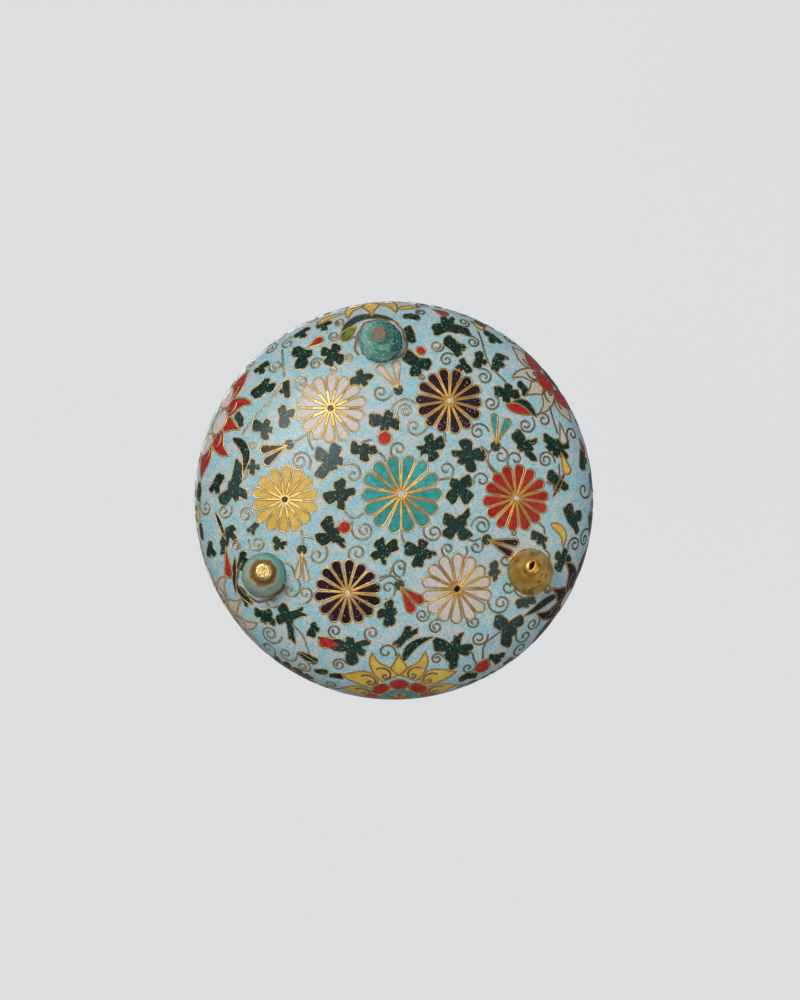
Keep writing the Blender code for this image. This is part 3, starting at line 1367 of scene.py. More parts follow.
LEAVES = (
    Leaf((264, 387), ((252, 396), (267, 378), (275, 387))),
    Leaf((286, 388), ((286, 380), (280, 393), (287, 398))),
    Leaf((285, 414.5), ((280, 406), (295, 412), (284, 428)), 0.5),
    Leaf((264, 428), ((252, 424), (269, 419.5), (273, 431), (266, 440)), 0.35),
    Leaf((303, 355), ((293, 349), (312.5, 352), (300, 369))),
    Leaf((332, 354), ((321, 350), (338, 344), (343, 362), (328, 366))),
    Leaf((361, 377), ((351, 387), (359, 369.5), (373, 377), (367, 385))),
    Leaf((386, 421), ((368.5, 420), (391, 411), (400, 425), (384, 432))),
    Leaf((364, 451), ((350, 446), (377, 449), (365, 462), (366, 443))),
    Leaf((331, 460), ((338, 444.5), (343.5, 462), (319, 478), (315, 452), (335, 470)), 0.55),
    Leaf((341, 494), ((339.5, 479), (324, 499.5), (355.5, 492), (342, 510), (347, 500)), 0.1),
    Leaf((253, 467), ((252, 459), (260, 467), (251, 475), (246, 467)), 0.55),
    Leaf((234, 489), ((239, 461), (247, 497), (237, 501), (220, 503), (228, 484)), 0.4),
    Leaf((216, 484), ((210, 492), (222, 474), (217, 494))),
    Leaf((199, 490), ((199, 482), (198, 501))),
    Leaf((261, 367), ((254, 372), (269, 362), (262, 374))),
    Leaf((302, 332), ((294, 337), (309, 327), (303, 338))),
    Leaf((324, 325), ((316, 327), (331, 321), (324, 331))),
    Leaf((417, 364), ((404, 352.5), (431.5, 364), (415, 376.5))),
    Leaf((456, 347), ((445, 337.5), (459.5, 356), (466, 348))),
    Leaf((447, 325), ((444, 316), (433, 331.5), (470.5, 333), (453, 317))),
    Leaf((463.5, 365), ((462, 358), (470.5, 372.5), (457, 370))),
    Leaf((480, 360), ((479, 351), (476, 368), (487, 363))),
    Leaf((497.5, 362), ((502, 354), (495, 371), (504, 367))),
    Leaf((492, 336), ((484, 331), (501, 343), (493, 343))),
    Leaf((507, 393), ((494, 391), (520, 394), (506, 402.5), (510, 384))),
    Leaf((524, 388), ((518, 382), (530, 393), (525, 396))),
    Leaf((431, 447), ((428, 434.5), (417, 448), (444.5, 440.5), (433, 461.5), (420, 454.5)), 0.05),
    Leaf((469, 455), ((463.5, 439), (451.5, 453.5), (486, 454.5), (470.5, 472), (458, 463)), 0.15),
    Leaf((525, 446), ((514, 432), (537.5, 440.5), (535.5, 461), (518, 449), (534, 449)), 0.05),
    Leaf((556, 446), ((543.5, 437), (556, 457), (569, 443), (567, 460), (547, 449))),
    Leaf((583, 459), ((583, 449), (587, 461), (583, 470))),
    Leaf((557, 481), ((548, 472.5), (567.5, 489.5), (558, 492)), 0.1),
    Leaf((459, 486), ((472, 479.5), (449.5, 502), (470, 502), (450, 481)), 0.1),
    Leaf((229, 531), ((235, 526.5), (220.5, 546), (234, 540), (222, 555)), 0.25),
    Leaf((253, 528), ((258, 523), (247, 532), (252, 535)), 0.6),
    Leaf((280, 545), ((273, 538), (287, 543), (274, 549), (284, 549)), 0.2),
    Leaf((243, 560), ((243, 551), (248, 561), (240, 571))),
    Leaf((210, 549), ((210, 541), (215, 556), (208, 557))),
    Leaf((201, 531), ((200, 523), (202, 540))),
    Leaf((245, 599), ((240, 590), (252, 604), (247, 607)), 0.1),
    Leaf((264, 616), ((254, 611), (275, 624), (264, 624), (272, 612))),
    Leaf((289, 617), ((279, 606), (303, 608), (306, 614), (290, 639), (276, 620), (294, 642)), 0.1),
    Leaf((314.5, 629), ((313, 622), (319, 630), (309, 637))),
    Leaf((333, 536), ((325, 517.5), (344.5, 547.5), (316, 540), (340, 529), (345, 541))),
    Leaf((382, 552), ((379, 538.5), (398, 543.5), (385, 565), (372, 558.5), (388, 557)), 0.05),
    Leaf((389.5, 613), ((389.5, 600), (377, 614), (388.5, 627), (396.5, 610)), 0.1),
    Leaf((351, 648), ((319, 641), (350, 637), (369, 642), (353, 665), (366, 653)), 0.2),
    Leaf((308, 658), ((300, 654), (317, 663)), 0.1),
    Leaf((320, 672), ((314, 671), (328, 672))),
    Leaf((457, 525), ((443, 518), (469.5, 511), (445, 537), (468.5, 539), (466, 522)), 0.15),
    Leaf((421, 552), ((424, 539.5), (436.5, 554), (417.5, 567.5), (404, 547.5), (431, 558)), 0.05),
    Leaf((494.5, 571), ((494, 561), (500, 574), (496, 581), (489, 576)), 0.6),
    Leaf((540, 538), ((531, 534), (547, 541), (546, 549), (539, 545))),
    Leaf((572, 518), ((567, 505), (578, 533), (582, 516), (573, 526)), 0.1),
    Leaf((562, 560), ((556, 553), (571, 557), (557, 571), (567, 549)), 0.05),
    Leaf((591, 523), ((590, 513), (592, 534))),
    Leaf((527, 602), ((516, 605), (536, 600), (527, 608)), 0.1),
    Leaf((508, 628), ((495, 618.5), (507, 647), (524, 619.5), (516, 634)), 0.1),
    Leaf((496, 658), ((489, 657), (505, 655), (499, 663))),
    Leaf((454, 649), ((462, 632.5), (433, 643.5), (472, 650), (453, 669), (446, 660), (456, 636)), 0.1),
    Leaf((405, 637), ((410, 626), (393, 645), (418, 630), (398, 648)), 0.05),
    Leaf((410, 334), ((407, 326), (412, 343))),
    Leaf((411, 316), ((403, 316), (420, 318))),
    Leaf((520, 345), ((514, 340), (527, 351))),
    Leaf((240, 420), ((236, 413), (241, 427)), 0.3),
    Leaf((335, 676), ((329, 676), (343, 677))),
    Leaf((468, 676), ((459, 681), (477, 676))),
)

TENDRILS = (
    Tendril((302, 382), start=(315, 380), turns=1.6),
    Tendril((300, 461), 2.9, -1.7, (308, 470)),
    Tendril((353, 475), 2.2, 1.3, (344, 465)),
    Tendril((381, 392)),
    Tendril((333, 370), 2.1),
    Tendril((334, 336), 2.2),
    Tendril((349, 358), 2.1),
    Tendril((316, 364), 2.2, -1.5),
    Tendril((340, 322), 2.0),
    Tendril((276, 366), 2.3, -1.5),
    Tendril((253, 446), 1.6, 1.1),
    Tendril((437, 346), 2.5),
    Tendril((447, 360), 2.1, -1.4),
    Tendril((473, 342), 2.2),
    Tendril((484, 377), 2.5),
    Tendril((422, 377), 2.0, -1.4),
    Tendril((414, 426), 2.4, 1.5, (425, 414)),
    Tendril((478, 432), 2.4, -1.5, (489, 432)),
    Tendril((526, 425), 2.4, 1.6, (532, 417)),
    Tendril((544, 420), 2.4, 1.3, (536, 417)),
    Tendril((491, 403), 2.6),
    Tendril((501, 456), 2.7, 1.6, (499, 475)),
    Tendril((546, 460), 2.6, -1.7, (555, 463)),
    Tendril((446, 469), 2.5, -1.2, (447, 479)),
    Tendril((399, 449), 2.4, 1.2, (393, 457)),
    Tendril((482, 480), 2.6, 1.2, (474, 484)),
    Tendril((516, 459), 2.3, 1.2, (512, 470)),
    Tendril((507, 358), 2.0),
    Tendril((421, 312), 1.8),
    Tendril((464, 322), 1.9, -1.4),
    Tendril((224, 511), 2.4, 1.4, (231, 504)),
    Tendril((206, 507), 2.2, -1.4),
    Tendril((246, 515), 2.6, -1.4, (254, 517)),
    Tendril((258, 543), 2.6, -1.5, (249, 539)),
    Tendril((236, 545), 2.1),
    Tendril((364, 530), 2.9, -1.8, (353, 521)),
    Tendril((358, 553), 2.4, 1.3, (350, 560)),
    Tendril((317, 555), 2.6, 1.4, (323, 543)),
    Tendril((290, 590), 2.0, 1.3),
    Tendril((305, 593), 2.2, -1.3, (301, 603)),
    Tendril((270, 634), 3.2, 1.8, (282, 637)),
    Tendril((335, 631), 2.2, 1.4),
    Tendril((372, 633), 2.5, 1.4, (371, 642)),
    Tendril((339, 665), 2.4, -1.6),
    Tendril((303, 667), 2.2, 1.6),
    Tendril((386, 652), 2.6, -1.1, (396, 656)),
    Tendril((388, 588), 2.3, -1.3, (385, 599)),
    Tendril((286, 654), 2.3, 1.5),
    Tendril((482, 526), 2.7, 1.6, (471, 527)),
    Tendril((434, 532), 2.6, -1.6, (427, 521)),
    Tendril((514, 533), 2.3, -1.3),
    Tendril((448, 549), 1.9, 1.3),
    Tendril((476, 547), 2.0, 1.2),
    Tendril((401, 566), 2.1, 1.3, (401, 578)),
    Tendril((501, 603), 3.0, -1.7, (489, 596)),
    Tendril((422, 615), 2.3, 1.5),
    Tendril((436, 627), 2.2, -1.6),
    Tendril((474, 622), 2.3, -1.3, (468, 618)),
    Tendril((479, 638), 2.6, 1.5, (488, 634)),
    Tendril((468, 668), 2.2, 1.4, (474, 660)),
    Tendril((437, 659), 1.9, -1.4),
    Tendril((533, 624), 2.3, 1.4),
    Tendril((508, 587), 2.4, 1.2, (512, 578)),
    Tendril((548, 589), 2.2),
    Tendril((575, 545), 2.3),
    Tendril((525, 636), 2.2, -1.3),
    Tendril((505, 560), 1.9, 1.2, (511, 553)),
)

STEMS = (
    ((417, 403), (405, 399), (395, 404), (391, 412)),
    ((444, 431), (445, 437), (446, 442)),
    ((432, 482), (441, 479.5), (449, 478)),
    ((288, 622), (297, 629), (304, 638), (309, 654)),
    ((549, 403), (553, 418), (558, 434)),
    ((242, 435), (246, 428), (258, 414), (268, 403), (276, 392), (284, 381)),
    ((282, 349), (283, 362), (284, 377)),
    ((478, 331), (482, 341), (484, 349), (490, 365), (506, 382)),
    ((292, 443), (301, 438), (310, 432)),
    ((308, 431), (309, 441), (313, 450)),
    ((489, 453), (481, 447), (487, 461), (499, 475)),
    ((344, 510), (349, 516), (355, 518), (364, 513)),
    ((301, 530), (303, 537), (302, 549)),
    ((303, 536), (313, 538), (320, 540)),
    ((393, 566), (389, 575), (379, 581)),
    ((379, 577), (392, 576), (399, 583)),
    ((403, 576), (405, 569), (405, 562)),
    ((468, 539), (474, 541), (481, 538)),
    ((402, 524), (402, 536), (405, 545)),
    ((466, 546), (467, 553), (462, 561)),
    ((538, 522), (544, 528), (545, 534)),
    ((483, 659), (484, 646), (493, 637), (502, 631)),
    ((474, 660), (472, 653), (464, 650)),
    ((249, 470), (245, 478), (238, 479)),
    ((355, 446), (366, 441), (372, 440)),
    ((546, 482), (556, 486), (566, 490)),
    ((378, 452), (384, 457), (385, 462)),
    ((344, 382), (338, 392), (333, 401)),
    ((566, 489), (560, 476), (559, 464)),
)

LOTUSES = (
    Lotus((398.7, 653), Glaze.YELLOW, Glaze.RED, Glaze.TURQUOISE, 1.0, 9.0),
    Lotus((240, 429.5), Glaze.RED, Glaze.WHITE, Glaze.TURQUOISE, 1.0, 12.2),
    Lotus((372, 315.5), Glaze.YELLOW, Glaze.RED, Glaze.TURQUOISE, 1.0, 9.5, wide=0.78),
    Lotus((526, 395.5), Glaze.WHITE, Glaze.RED, Glaze.AUBERGINE, 1.0, 11.3, 0.8, 0.80),
    Lotus((552, 588), Glaze.AUBERGINE, Glaze.WHITE, Glaze.YELLOW, 0.95, 10.5),
    Lotus((241, 600), Glaze.WHITE, Glaze.RED, Glaze.TURQUOISE, 0.90, 8.6, 0.6),
)


@dataclass
class Outlines:
    """All outlines drawn so far, for finding the nearest of them."""

    pattern: Pattern

    def __post_init__(self) -> None:
        """Notes where each outline's points lie, on the plan and in space."""
        self.flat = np.concatenate([cell.outline for cell in self.pattern.cells])
        places = self.pattern.surface.places(self.flat, 0.0)
        self.tree = KDTree(len(places))
        for i, place in enumerate(places):
            self.tree.insert(place, i)
        self.tree.balance()

    def distance(self, place: np.ndarray) -> float:
        """How far a place in space is from the nearest outline."""
        return self.tree.find(place)[2]

    def nearest(self, spot: Spot) -> complex:
        """The nearest point of an outline, as seen from a motif's middle."""
        place = self.pattern.surface.places(np.array([spot.middle]), 0.0)[0]
        return spot.local(self.flat[[self.tree.find(place)[1]]])[0]


@dataclass
class FlowerDrawing:
    """Draws the pattern's motifs, and with them all that the photograph shows. Lengths are in millimetres."""

    pattern: Pattern
    view: Viewpoint
    seed: int = 5
    eye_share: float = 0.112
    gilt_share: float = 0.52
    petal_start: float = 0.125
    petal_blunt: float = 0.015
    petal_middle: float = 0.848
    petal_end: float = 0.156
    bud_cap: float = 1.75
    lotus_depth: float = 23.2
    petal_curl: float = 1.25

    def __post_init__(self) -> None:
        """Starts the hand's small unevenness, the same each run."""
        self.chance = random.Random(self.seed)
        self.surface = self.pattern.surface

    def motif(self, pixels: Iterable[Pixel]) -> tuple[Spot, Plan]:
        """Opens a motif.

        Args:
            pixels: its middle and its other points, in the photograph.

        Returns:
            Its place, and all its points round that in millimetres.
        """
        points = self.view.to_plan(self.surface, pixels)
        spot = self.pattern.spot(points[0])
        return spot, spot.local(points)

    def bloom(
        self,
        spot: Spot,
        radius: float,
        glaze: Glaze,
        eye: Glaze,
        turn: float,
        petals: int = BLOOM_PETALS,
    ) -> None:
        """Draws a chrysanthemum.

        Args:
            spot: where it goes.
            radius: its radius in millimetres.
            glaze: its petals' enamel.
            eye: its eye's enamel.
            turn: how far its first petal is turned, in degrees.
            petals: how many it has.
        """
        step = TURN / petals
        wide = self.petal_end * BLOOM_PETALS / petals
        self.pattern.add(spot, self.gilt_share * radius * circle(60), Glaze.GILT, wired=False)
        for i in range(petals):
            uneven = self.chance.uniform(-0.05, 0.05) * step
            direction = -math.radians(turn) + step * i + uneven
            long = radius * self.chance.uniform(0.96, 1.03)
            shape = petal_shape(
                self.petal_start * radius,
                self.petal_middle * long,
                wide * radius,
                direction,
                self.petal_blunt * radius,
            )
            self.pattern.add(spot, shape, glaze, tone=self.chance.uniform(0.0, 0.5))
        self.pattern.add(spot, self.eye_share * radius * circle(18), eye)

    def leaf(self, mark: Leaf) -> None:
        """Draws a leaf of the photograph."""
        spot, points = self.motif([mark.middle, *mark.tips])
        self.pattern.add(spot, leaf_shape(points[1:], mark.width), Glaze.LEAF, tone=mark.tone)

    def bud(self, mark: Bud) -> None:
        """Draws a bud: its cap under its two petals.

        Args:
            mark: the bud.
        """
        spot, points = self.motif([mark.cap, *mark.ends])
        ends = points[1:]
        toward = ends.mean() / abs(ends.mean())
        self.pattern.add(spot, self.bud_cap * circle(24) - toward * 0.4, Glaze.LEAF, tone=0.4)
        for end in ends:
            shape = petal_shape(0.3, abs(end) - mark.width, mark.width, float(np.angle(end)))
            self.pattern.add(spot, shape, mark.glaze, tone=0.2)

    def drop(self, mark: Drop) -> None:
        """Draws a drop; a joined one is part of the leaf under it and has no wire towards it.

        Args:
            mark: the drop.
        """
        spot, points = self.motif([mark.tip, mark.end])
        end = points[1]
        long = max(abs(end), 2.2 * mark.width)
        shape = petal_shape(0.0, long - mark.width, mark.width, float(np.angle(end)))
        host = None
        if mark.joined:
            tip = np.array([spot.middle])
            host = next((cell for cell in self.pattern.cells if cell.holds(tip)[0]), None)
        self.pattern.add(spot, shape, mark.glaze, joined_to=host)

    def blade(self, mark: Blade) -> None:
        """Draws a long leaf or sepal."""
        spot, points = self.motif(mark.spine)
        self.pattern.add(spot, blade_shape(through(points), mark.width), mark.glaze, tone=mark.tone)

    def stem(self, spine: Sequence[Pixel]) -> None:
        """Draws a plain wire through pixels of the photograph."""
        spot, points = self.motif(spine)
        self.pattern.draw(spot, through(points))

    def tendril(self, mark: Tendril, outlines: Outlines) -> None:
        """Draws a curled wire from its start, or from the nearest outline.

        Args:
            mark: the tendril.
            outlines: what is drawn so far.
        """
        spot, points = self.motif([mark.middle, mark.start] if mark.start else [mark.middle])
        start = points[1] if mark.start else outlines.nearest(spot)
        size = mark.size * self.chance.uniform(0.92, 1.06)
        self.pattern.draw(spot, curl(0, start, size, mark.turns))

    def lotus(self, mark: Lotus) -> None:
        """Draws a lotus: horned petals with a curled wire in each, a calyx and a heart.

        Args:
            mark: the lotus.
        """
        inner = self.view.to_plan(self.surface, [mark.inner])[0]
        spread = self.surface.run[self.surface.widest, 0]
        middle = inner * math.exp(self.lotus_depth * mark.size / spread)
        spot = BeltSpot(middle, self.surface.scale(middle), float(spread))
        for along in (-1, 1):
            for across in (-1, 1):
                for inner_edge, outer_edge, knot in LOTUS_PETALS[::-1]:
                    edges = [mark.mirrored(edge, across, along) for edge in (inner_edge, outer_edge)]
                    tone = mark.tone + self.chance.uniform(-0.15, 0.15)
                    petal = self.pattern.add(spot, horn_shape(*edges), mark.petals, tone=tone)
                    eye, begin = mark.mirrored(knot, across, along)
                    wire = curl(eye, begin, self.petal_curl, 1.5 * across * along)
                    self.pattern.draw(spot, wire, petal)
        calyx = np.array(LOTUS_CALYX) * mark.size
        calyx = np.concatenate([calyx, -calyx[-2:0:-1].conjugate()])
        self.pattern.add(spot, calyx, mark.petals, tone=mark.tone)
        LotusHeart().draw(self.pattern, spot, mark)

    def photographed(self) -> None:
        """Draws all that the photograph shows."""
        for marks, draw in (
            (LEAVES, self.leaf),
            (BLADES, self.blade),
            (LOTUSES, self.lotus),
            (DROPS, self.drop),
            (BUDS, self.bud),
        ):
            for mark in marks:
                draw(mark)
        for mark in BLOOMS:
            spot, _ = self.motif([mark.middle])
            radius = self.view.real_length(self.surface, spot.middle, mark.radius)
            self.bloom(spot, radius, mark.glaze, mark.eye, mark.turn)
        for spine in STEMS:
            self.stem(spine)
        outlines = Outlines(self.pattern)
        for mark in TENDRILS:
            self.tendril(mark, outlines)
        log.info("photographed motifs: %d cells", len(self.pattern.cells))


@dataclass
class HiddenSide:
    """Fills the shoulder and the neck in keeping with the underside, and more plainly.

    Heights are over the ground, in millimetres, and a margin is a share of the plan's radius.
    """

    drawing: FlowerDrawing
    lip_band: float = 63.4
    neck_foot: float = 52.6
    shoulder_end: float = 50.7
    leaf_end: float = 50.2
    leaf_margin: float = 0.97
    tendril_margin: float = 0.98
    belt_margin: float = 0.93
    shoulder_row: float = 46.5
    shoulder_bloom: float = 7.6
    leaf_clearance: float = 3.9
    leaf_tries: int = 1500
    scroll: tuple[float, float] = (53.4, 62.6)
    scroll_bends: int = 12
    scroll_bloom: float = 2.9
    scroll_leaf: float = 2.7

    def __post_init__(self) -> None:
        """Notes what the methods share."""
        self.pattern = self.drawing.pattern
        self.surface = self.pattern.surface
        self.chance = self.drawing.chance

    def grounds(self) -> None:
        """Lays the lip's band, the neck's ground, its lower band and the bowl's own ground."""
        self.pattern.ground_ring(self.surface.rim, Glaze.TURQUOISE)
        for height, glaze in (
            (self.lip_band, Glaze.GROUND),
            (self.neck_foot, Glaze.TURQUOISE),
            (self.shoulder_end, Glaze.GROUND),
        ):
            self.pattern.ground_ring(self.surface.ring_at_height(height), glaze)

    def random_places(self, count: int, low: float, high: float) -> Plan:
        """Places spread evenly over a zone of the bowl.

        Args:
            count: how many.
            low: the zone's nearer edge, as a radius of the plan.
            high: its further edge.

        Returns:
            Points of the plan.
        """
        reach = np.linspace(low, high, 400)
        area = np.cumsum(self.surface.radius(reach) ** 2 / reach)
        picks = [self.chance.uniform(area[0], area[-1]) for _ in range(count)]
        turns = [self.chance.uniform(0, TURN) for _ in range(count)]
        return np.interp(picks, area, reach) * np.exp(1j * np.array(turns))

    def clear_of(
        self, outlines: Outlines, tries: Plan, clearance: float, taken: list[np.ndarray]
    ) -> list[complex]:
        """Chooses places clear of all that is drawn and of each other.

        Args:
            outlines: what is drawn so far.
            tries: the places to choose from.
            clearance: the distance to keep, in millimetres.
            taken: places already chosen, in space, which this adds to.

        Returns:
            The places chosen.
        """
        runs = np.concatenate([stroke.run for stroke in self.pattern.strokes])
        wires = self.surface.places(runs, 0.0)
        free = self.pattern.on_ground(tries)
        places = self.surface.places(tries, 0.0)
        chosen = []
        for point, place, is_free in zip(tries, places, free):
            if not is_free or outlines.distance(place) < clearance:
                continue
            if np.min(np.sum((wires - place) ** 2, axis=1)) < clearance**2:
                continue
            if taken and min(np.linalg.norm(place - other) for other in taken) < 2 * clearance:
                continue
            taken.append(place)
            chosen.append(point)
        return chosen

    def shoulder(self) -> None:
        """Sets a bloom on the shoulder between each two lotuses, and leaves where there is room."""
        glazes = (Glaze.RED, Glaze.AUBERGINE, Glaze.YELLOW, Glaze.WHITE, Glaze.TURQUOISE, Glaze.RED)
        eyes = (Glaze.WHITE, Glaze.WHITE, Glaze.AUBERGINE, Glaze.AUBERGINE, Glaze.WHITE, Glaze.WHITE)
        inner = self.drawing.view.to_plan(self.surface, [mark.inner for mark in LOTUSES])
        turns = sorted(float(np.angle(point)) % TURN for point in inner)
        ahead = turns[1:] + [turns[0] + TURN]
        high = self.surface.ring_at_height(self.shoulder_row)
        for glaze, eye, first, second in zip(glazes, eyes, turns, ahead):
            spot = self.pattern.spot(high * np.exp(0.5j * (first + second)))
            self.drawing.bloom(spot, self.shoulder_bloom, glaze, eye, self.chance.uniform(0, 20))
        low = self.surface.belt * self.belt_margin
        edge = self.surface.ring_at_height(self.leaf_end) * self.leaf_margin
        self.scatter_leaves(self.random_places(self.leaf_tries, low, edge), self.leaf_clearance)

    def scatter_leaves(self, tries: Plan, clearance: float) -> None:
        """Adds leaves of the hand's own where there is room.

        Args:
            tries: the places to choose from.
            clearance: a leaf's radius and the distance to keep, in millimetres.
        """
        for point in self.clear_of(Outlines(self.pattern), tries, clearance, []):
            begin = self.chance.uniform(0, TURN)
            lobes = self.chance.choice((3, 4, 4, 5))
            tips = [
                (clearance + self.chance.uniform(-0.2, 1.0)) * np.exp(1j * (begin + TURN * i / lobes))
                for i in range(lobes)
            ]
            shape = leaf_shape(np.array(tips), 2.1)
            self.pattern.add(self.pattern.spot(point), shape, Glaze.LEAF, tone=self.chance.uniform(0, 0.4))

    def neck_scroll(self) -> None:
        """Draws the neck's scroll: a waving stem with a small bloom or a leaf in each bend."""
        low, high = (self.surface.ring_at_height(height) for height in self.scroll)
        middle = math.sqrt(low * high)
        swing = math.log(high / low) * 0.27
        turns = np.linspace(0, TURN, 480)
        wave = middle * np.exp(swing * np.sin(self.scroll_bends * turns) + 1j * turns)
        glazes = (Glaze.YELLOW, Glaze.RED, Glaze.WHITE)
        for i in range(2 * self.scroll_bends):
            turn = (i + 0.5) * math.pi / self.scroll_bends
            side = -1 if i % 2 == 0 else 1
            spot = self.pattern.spot(middle * np.exp(side * swing * 0.45 + 1j * turn))
            if i % 2 == 0:
                glaze = glazes[i // 2 % 3]
                self.drawing.bloom(spot, self.scroll_bloom, glaze, Glaze.AUBERGINE, 0, petals=8)
            else:
                tips = self.scroll_leaf * np.exp(1j * (turn + math.pi / 2 * np.arange(4) + 0.5))
                self.pattern.add(spot, leaf_shape(tips, 1.1), Glaze.LEAF, tone=0.2)
        self.pattern.strokes.append(Stroke(wave))

    def tendrils(self) -> None:
        """Adds small curls wherever the ground is still open, the smaller ones on the hidden side."""
        taken = []
        outlines = Outlines(self.pattern)
        hidden = self.surface.belt * self.belt_margin
        high = self.surface.ring_at_height(self.leaf_end) * self.tendril_margin
        for clearance, count, low in ((2.6, 2600, 6.0), (1.9, 2200, hidden), (1.4, 1800, hidden)):
            tries = self.random_places(count, low, high)
            for point in self.clear_of(outlines, tries, clearance, taken):
                spot = self.pattern.spot(point)
                way = self.chance.choice((-1, 1))
                turns = way * self.chance.uniform(1.2, 1.7)
                self.pattern.draw(spot, curl(0, outlines.nearest(spot), clearance * 0.86, turns))
        log.info("whole pattern: %d cells", len(self.pattern.cells))


def make_piece(
    name: str,
    vertices: np.ndarray,
    faces: Sequence[Sequence[int]],
    material: bpy.types.Material,
    normals: np.ndarray | None = None,
    numbers: dict[str, np.ndarray] | None = None,
) -> bpy.types.Object:
    """Makes a mesh object.

    Args:
        name: the piece's name.
        vertices: its corners in millimetres.
        faces: the corners of each face, outside to the front.
        material: its finish.
        normals: the shading normal at each corner, where it isn't the mesh's own.
        numbers: values at each corner that the finish reads, by name.

    Returns:
        The object.
    """
    mesh = bpy.data.meshes.new(name)
    mesh.from_pydata((vertices * MM).tolist(), [], [list(map(int, face)) for face in faces])
    mesh.materials.append(material)
    for key, values in (numbers or {}).items():
        layer = mesh.attributes.new(key, "FLOAT", "POINT")
        layer.data.foreach_set("value", np.asarray(values, np.float32))
    mesh.shade_smooth()
    if normals is not None:
        mesh.normals_split_custom_set_from_vertices(normals.tolist())
    made = bpy.data.objects.new(name, mesh)
    bpy.context.scene.collection.objects.link(made)
    log.info("%s: %d faces", name, len(mesh.polygons))
    return made


def attach(piece: bpy.types.Object, node: str | None = None) -> None:
    """Makes a piece ride with the burner.

    Args:
        piece: the piece.
        node: the CAD node that it stands for, if it does.
    """
    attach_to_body(piece, "root")
    if node:
        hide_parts(node)


@dataclass
class EnamelSkin:
    """The enamel between the wires, one piece for each colour."""

    pattern: Pattern
    depth: float = 0.12
    gilt_depth: float = 0.085
    step: float = 2.3
    sag: float = 0.02
    first_ring: float = 1.2
    last_gap: float = 0.3
    merge: float = 1e-4

    def fillers(self) -> Plan:
        """Points inside the fields, in rings that are closer where the bowl's side bends tightly."""
        surface = self.pattern.surface
        heading = np.unwrap(np.arctan2(surface.normal[:, 1], surface.normal[:, 0]))
        bend = np.abs(np.gradient(heading, surface.length))
        found = []
        place, ring = self.first_ring, 0
        while place < surface.length[-1] - self.last_gap:
            here = float(np.interp(place, surface.length, bend))
            step = min(self.step, math.sqrt(8 * self.sag / max(here, SMALL)))
            reach = float(np.interp(place, surface.length, surface.reach))
            radius = float(np.interp(place, surface.length, surface.run[:, 0]))
            count = max(int(TURN * radius / max(step, 0.5 * self.step)), 6)
            turns = TURN * (np.arange(count) + 0.5 * (ring % 2)) / count
            found.append(reach * np.exp(1j * turns))
            place += step
            ring += 1
        return np.concatenate(found)

    def triangles(self, cells: list[Cell]) -> tuple[Plan, np.ndarray, np.ndarray]:
        """Cuts the plan into triangles along every outline.

        Args:
            cells: the grounds and cells, each over the ones before it.

        Returns:
            Points of the plan, each triangle's points, and the number of the cell that shows on it.
        """
        runs, faces, count = [], [], 0
        for cell in cells:
            faces.append(list(range(count, count + len(cell.outline))))
            runs.append(cell.outline)
            count += len(cell.outline)
        flat = np.concatenate([*runs, self.fillers()])
        points = [Vector((p.real, p.imag)) for p in flat]
        verts, _, found, _, _, owners = delaunay_2d_cdt(points, [], faces, 1, self.merge, True)
        plan = np.array([complex(v.x, v.y) for v in verts])
        plan = plan / np.maximum(np.abs(plan) / self.pattern.surface.rim, 1.0)
        top = np.array([max(owner) if owner else 0 for owner in owners])
        return plan, np.array(found, int), top

    def build(self) -> None:
        """Bends the triangles onto the bowl, one piece for each enamel."""
        cells = self.pattern.grounds + self.pattern.cells
        plan, corners, top = self.triangles(cells)
        normals = self.pattern.surface.normals(plan)
        surface_places = self.pattern.surface.places(plan, 0.0)
        tones = np.array([cell.tone for cell in cells])
        for glaze in Glaze:
            wanted = np.array([cell.glaze is glaze for cell in cells])[top]
            if not wanted.any():
                continue
            keys = top[wanted][:, None] * len(plan) + corners[wanted]
            unique, index = np.unique(keys, return_inverse=True)
            vertex = unique % len(plan)
            tone = tones[unique // len(plan)]
            is_gilt = glaze is Glaze.GILT
            finish = WireFinish("gilt_flower_hearts") if is_gilt else ENAMELS[glaze]
            depth = self.gilt_depth if is_gilt else self.depth
            places = surface_places[vertex] - normals[vertex] * depth
            faces = index.reshape(-1, 3)[:, ::-1]
            piece = make_piece(glaze.value, places, faces, finish.make(), normals[vertex], {"tone": tone})
            attach(piece)


# Where each zone of wires begins and ends, as shares of the plan's radius at the widest ring.
WIRE_ZONES = {"underside": (0.0, 0.66), "belly": (0.66, 1.16), "shoulder": (1.16, 99.0)}

# The tendrils' gilding is paler and more rubbed than the outlines'. Its four colours are, as in WireFinish,
# the painted glint, the painted highlight's gold, the plain ochre, and the brown of wear and painted shade.
FADED_GILT = (srgb(226, 204, 150), srgb(178, 156, 114), srgb(142, 124, 94), srgb(88, 80, 66))


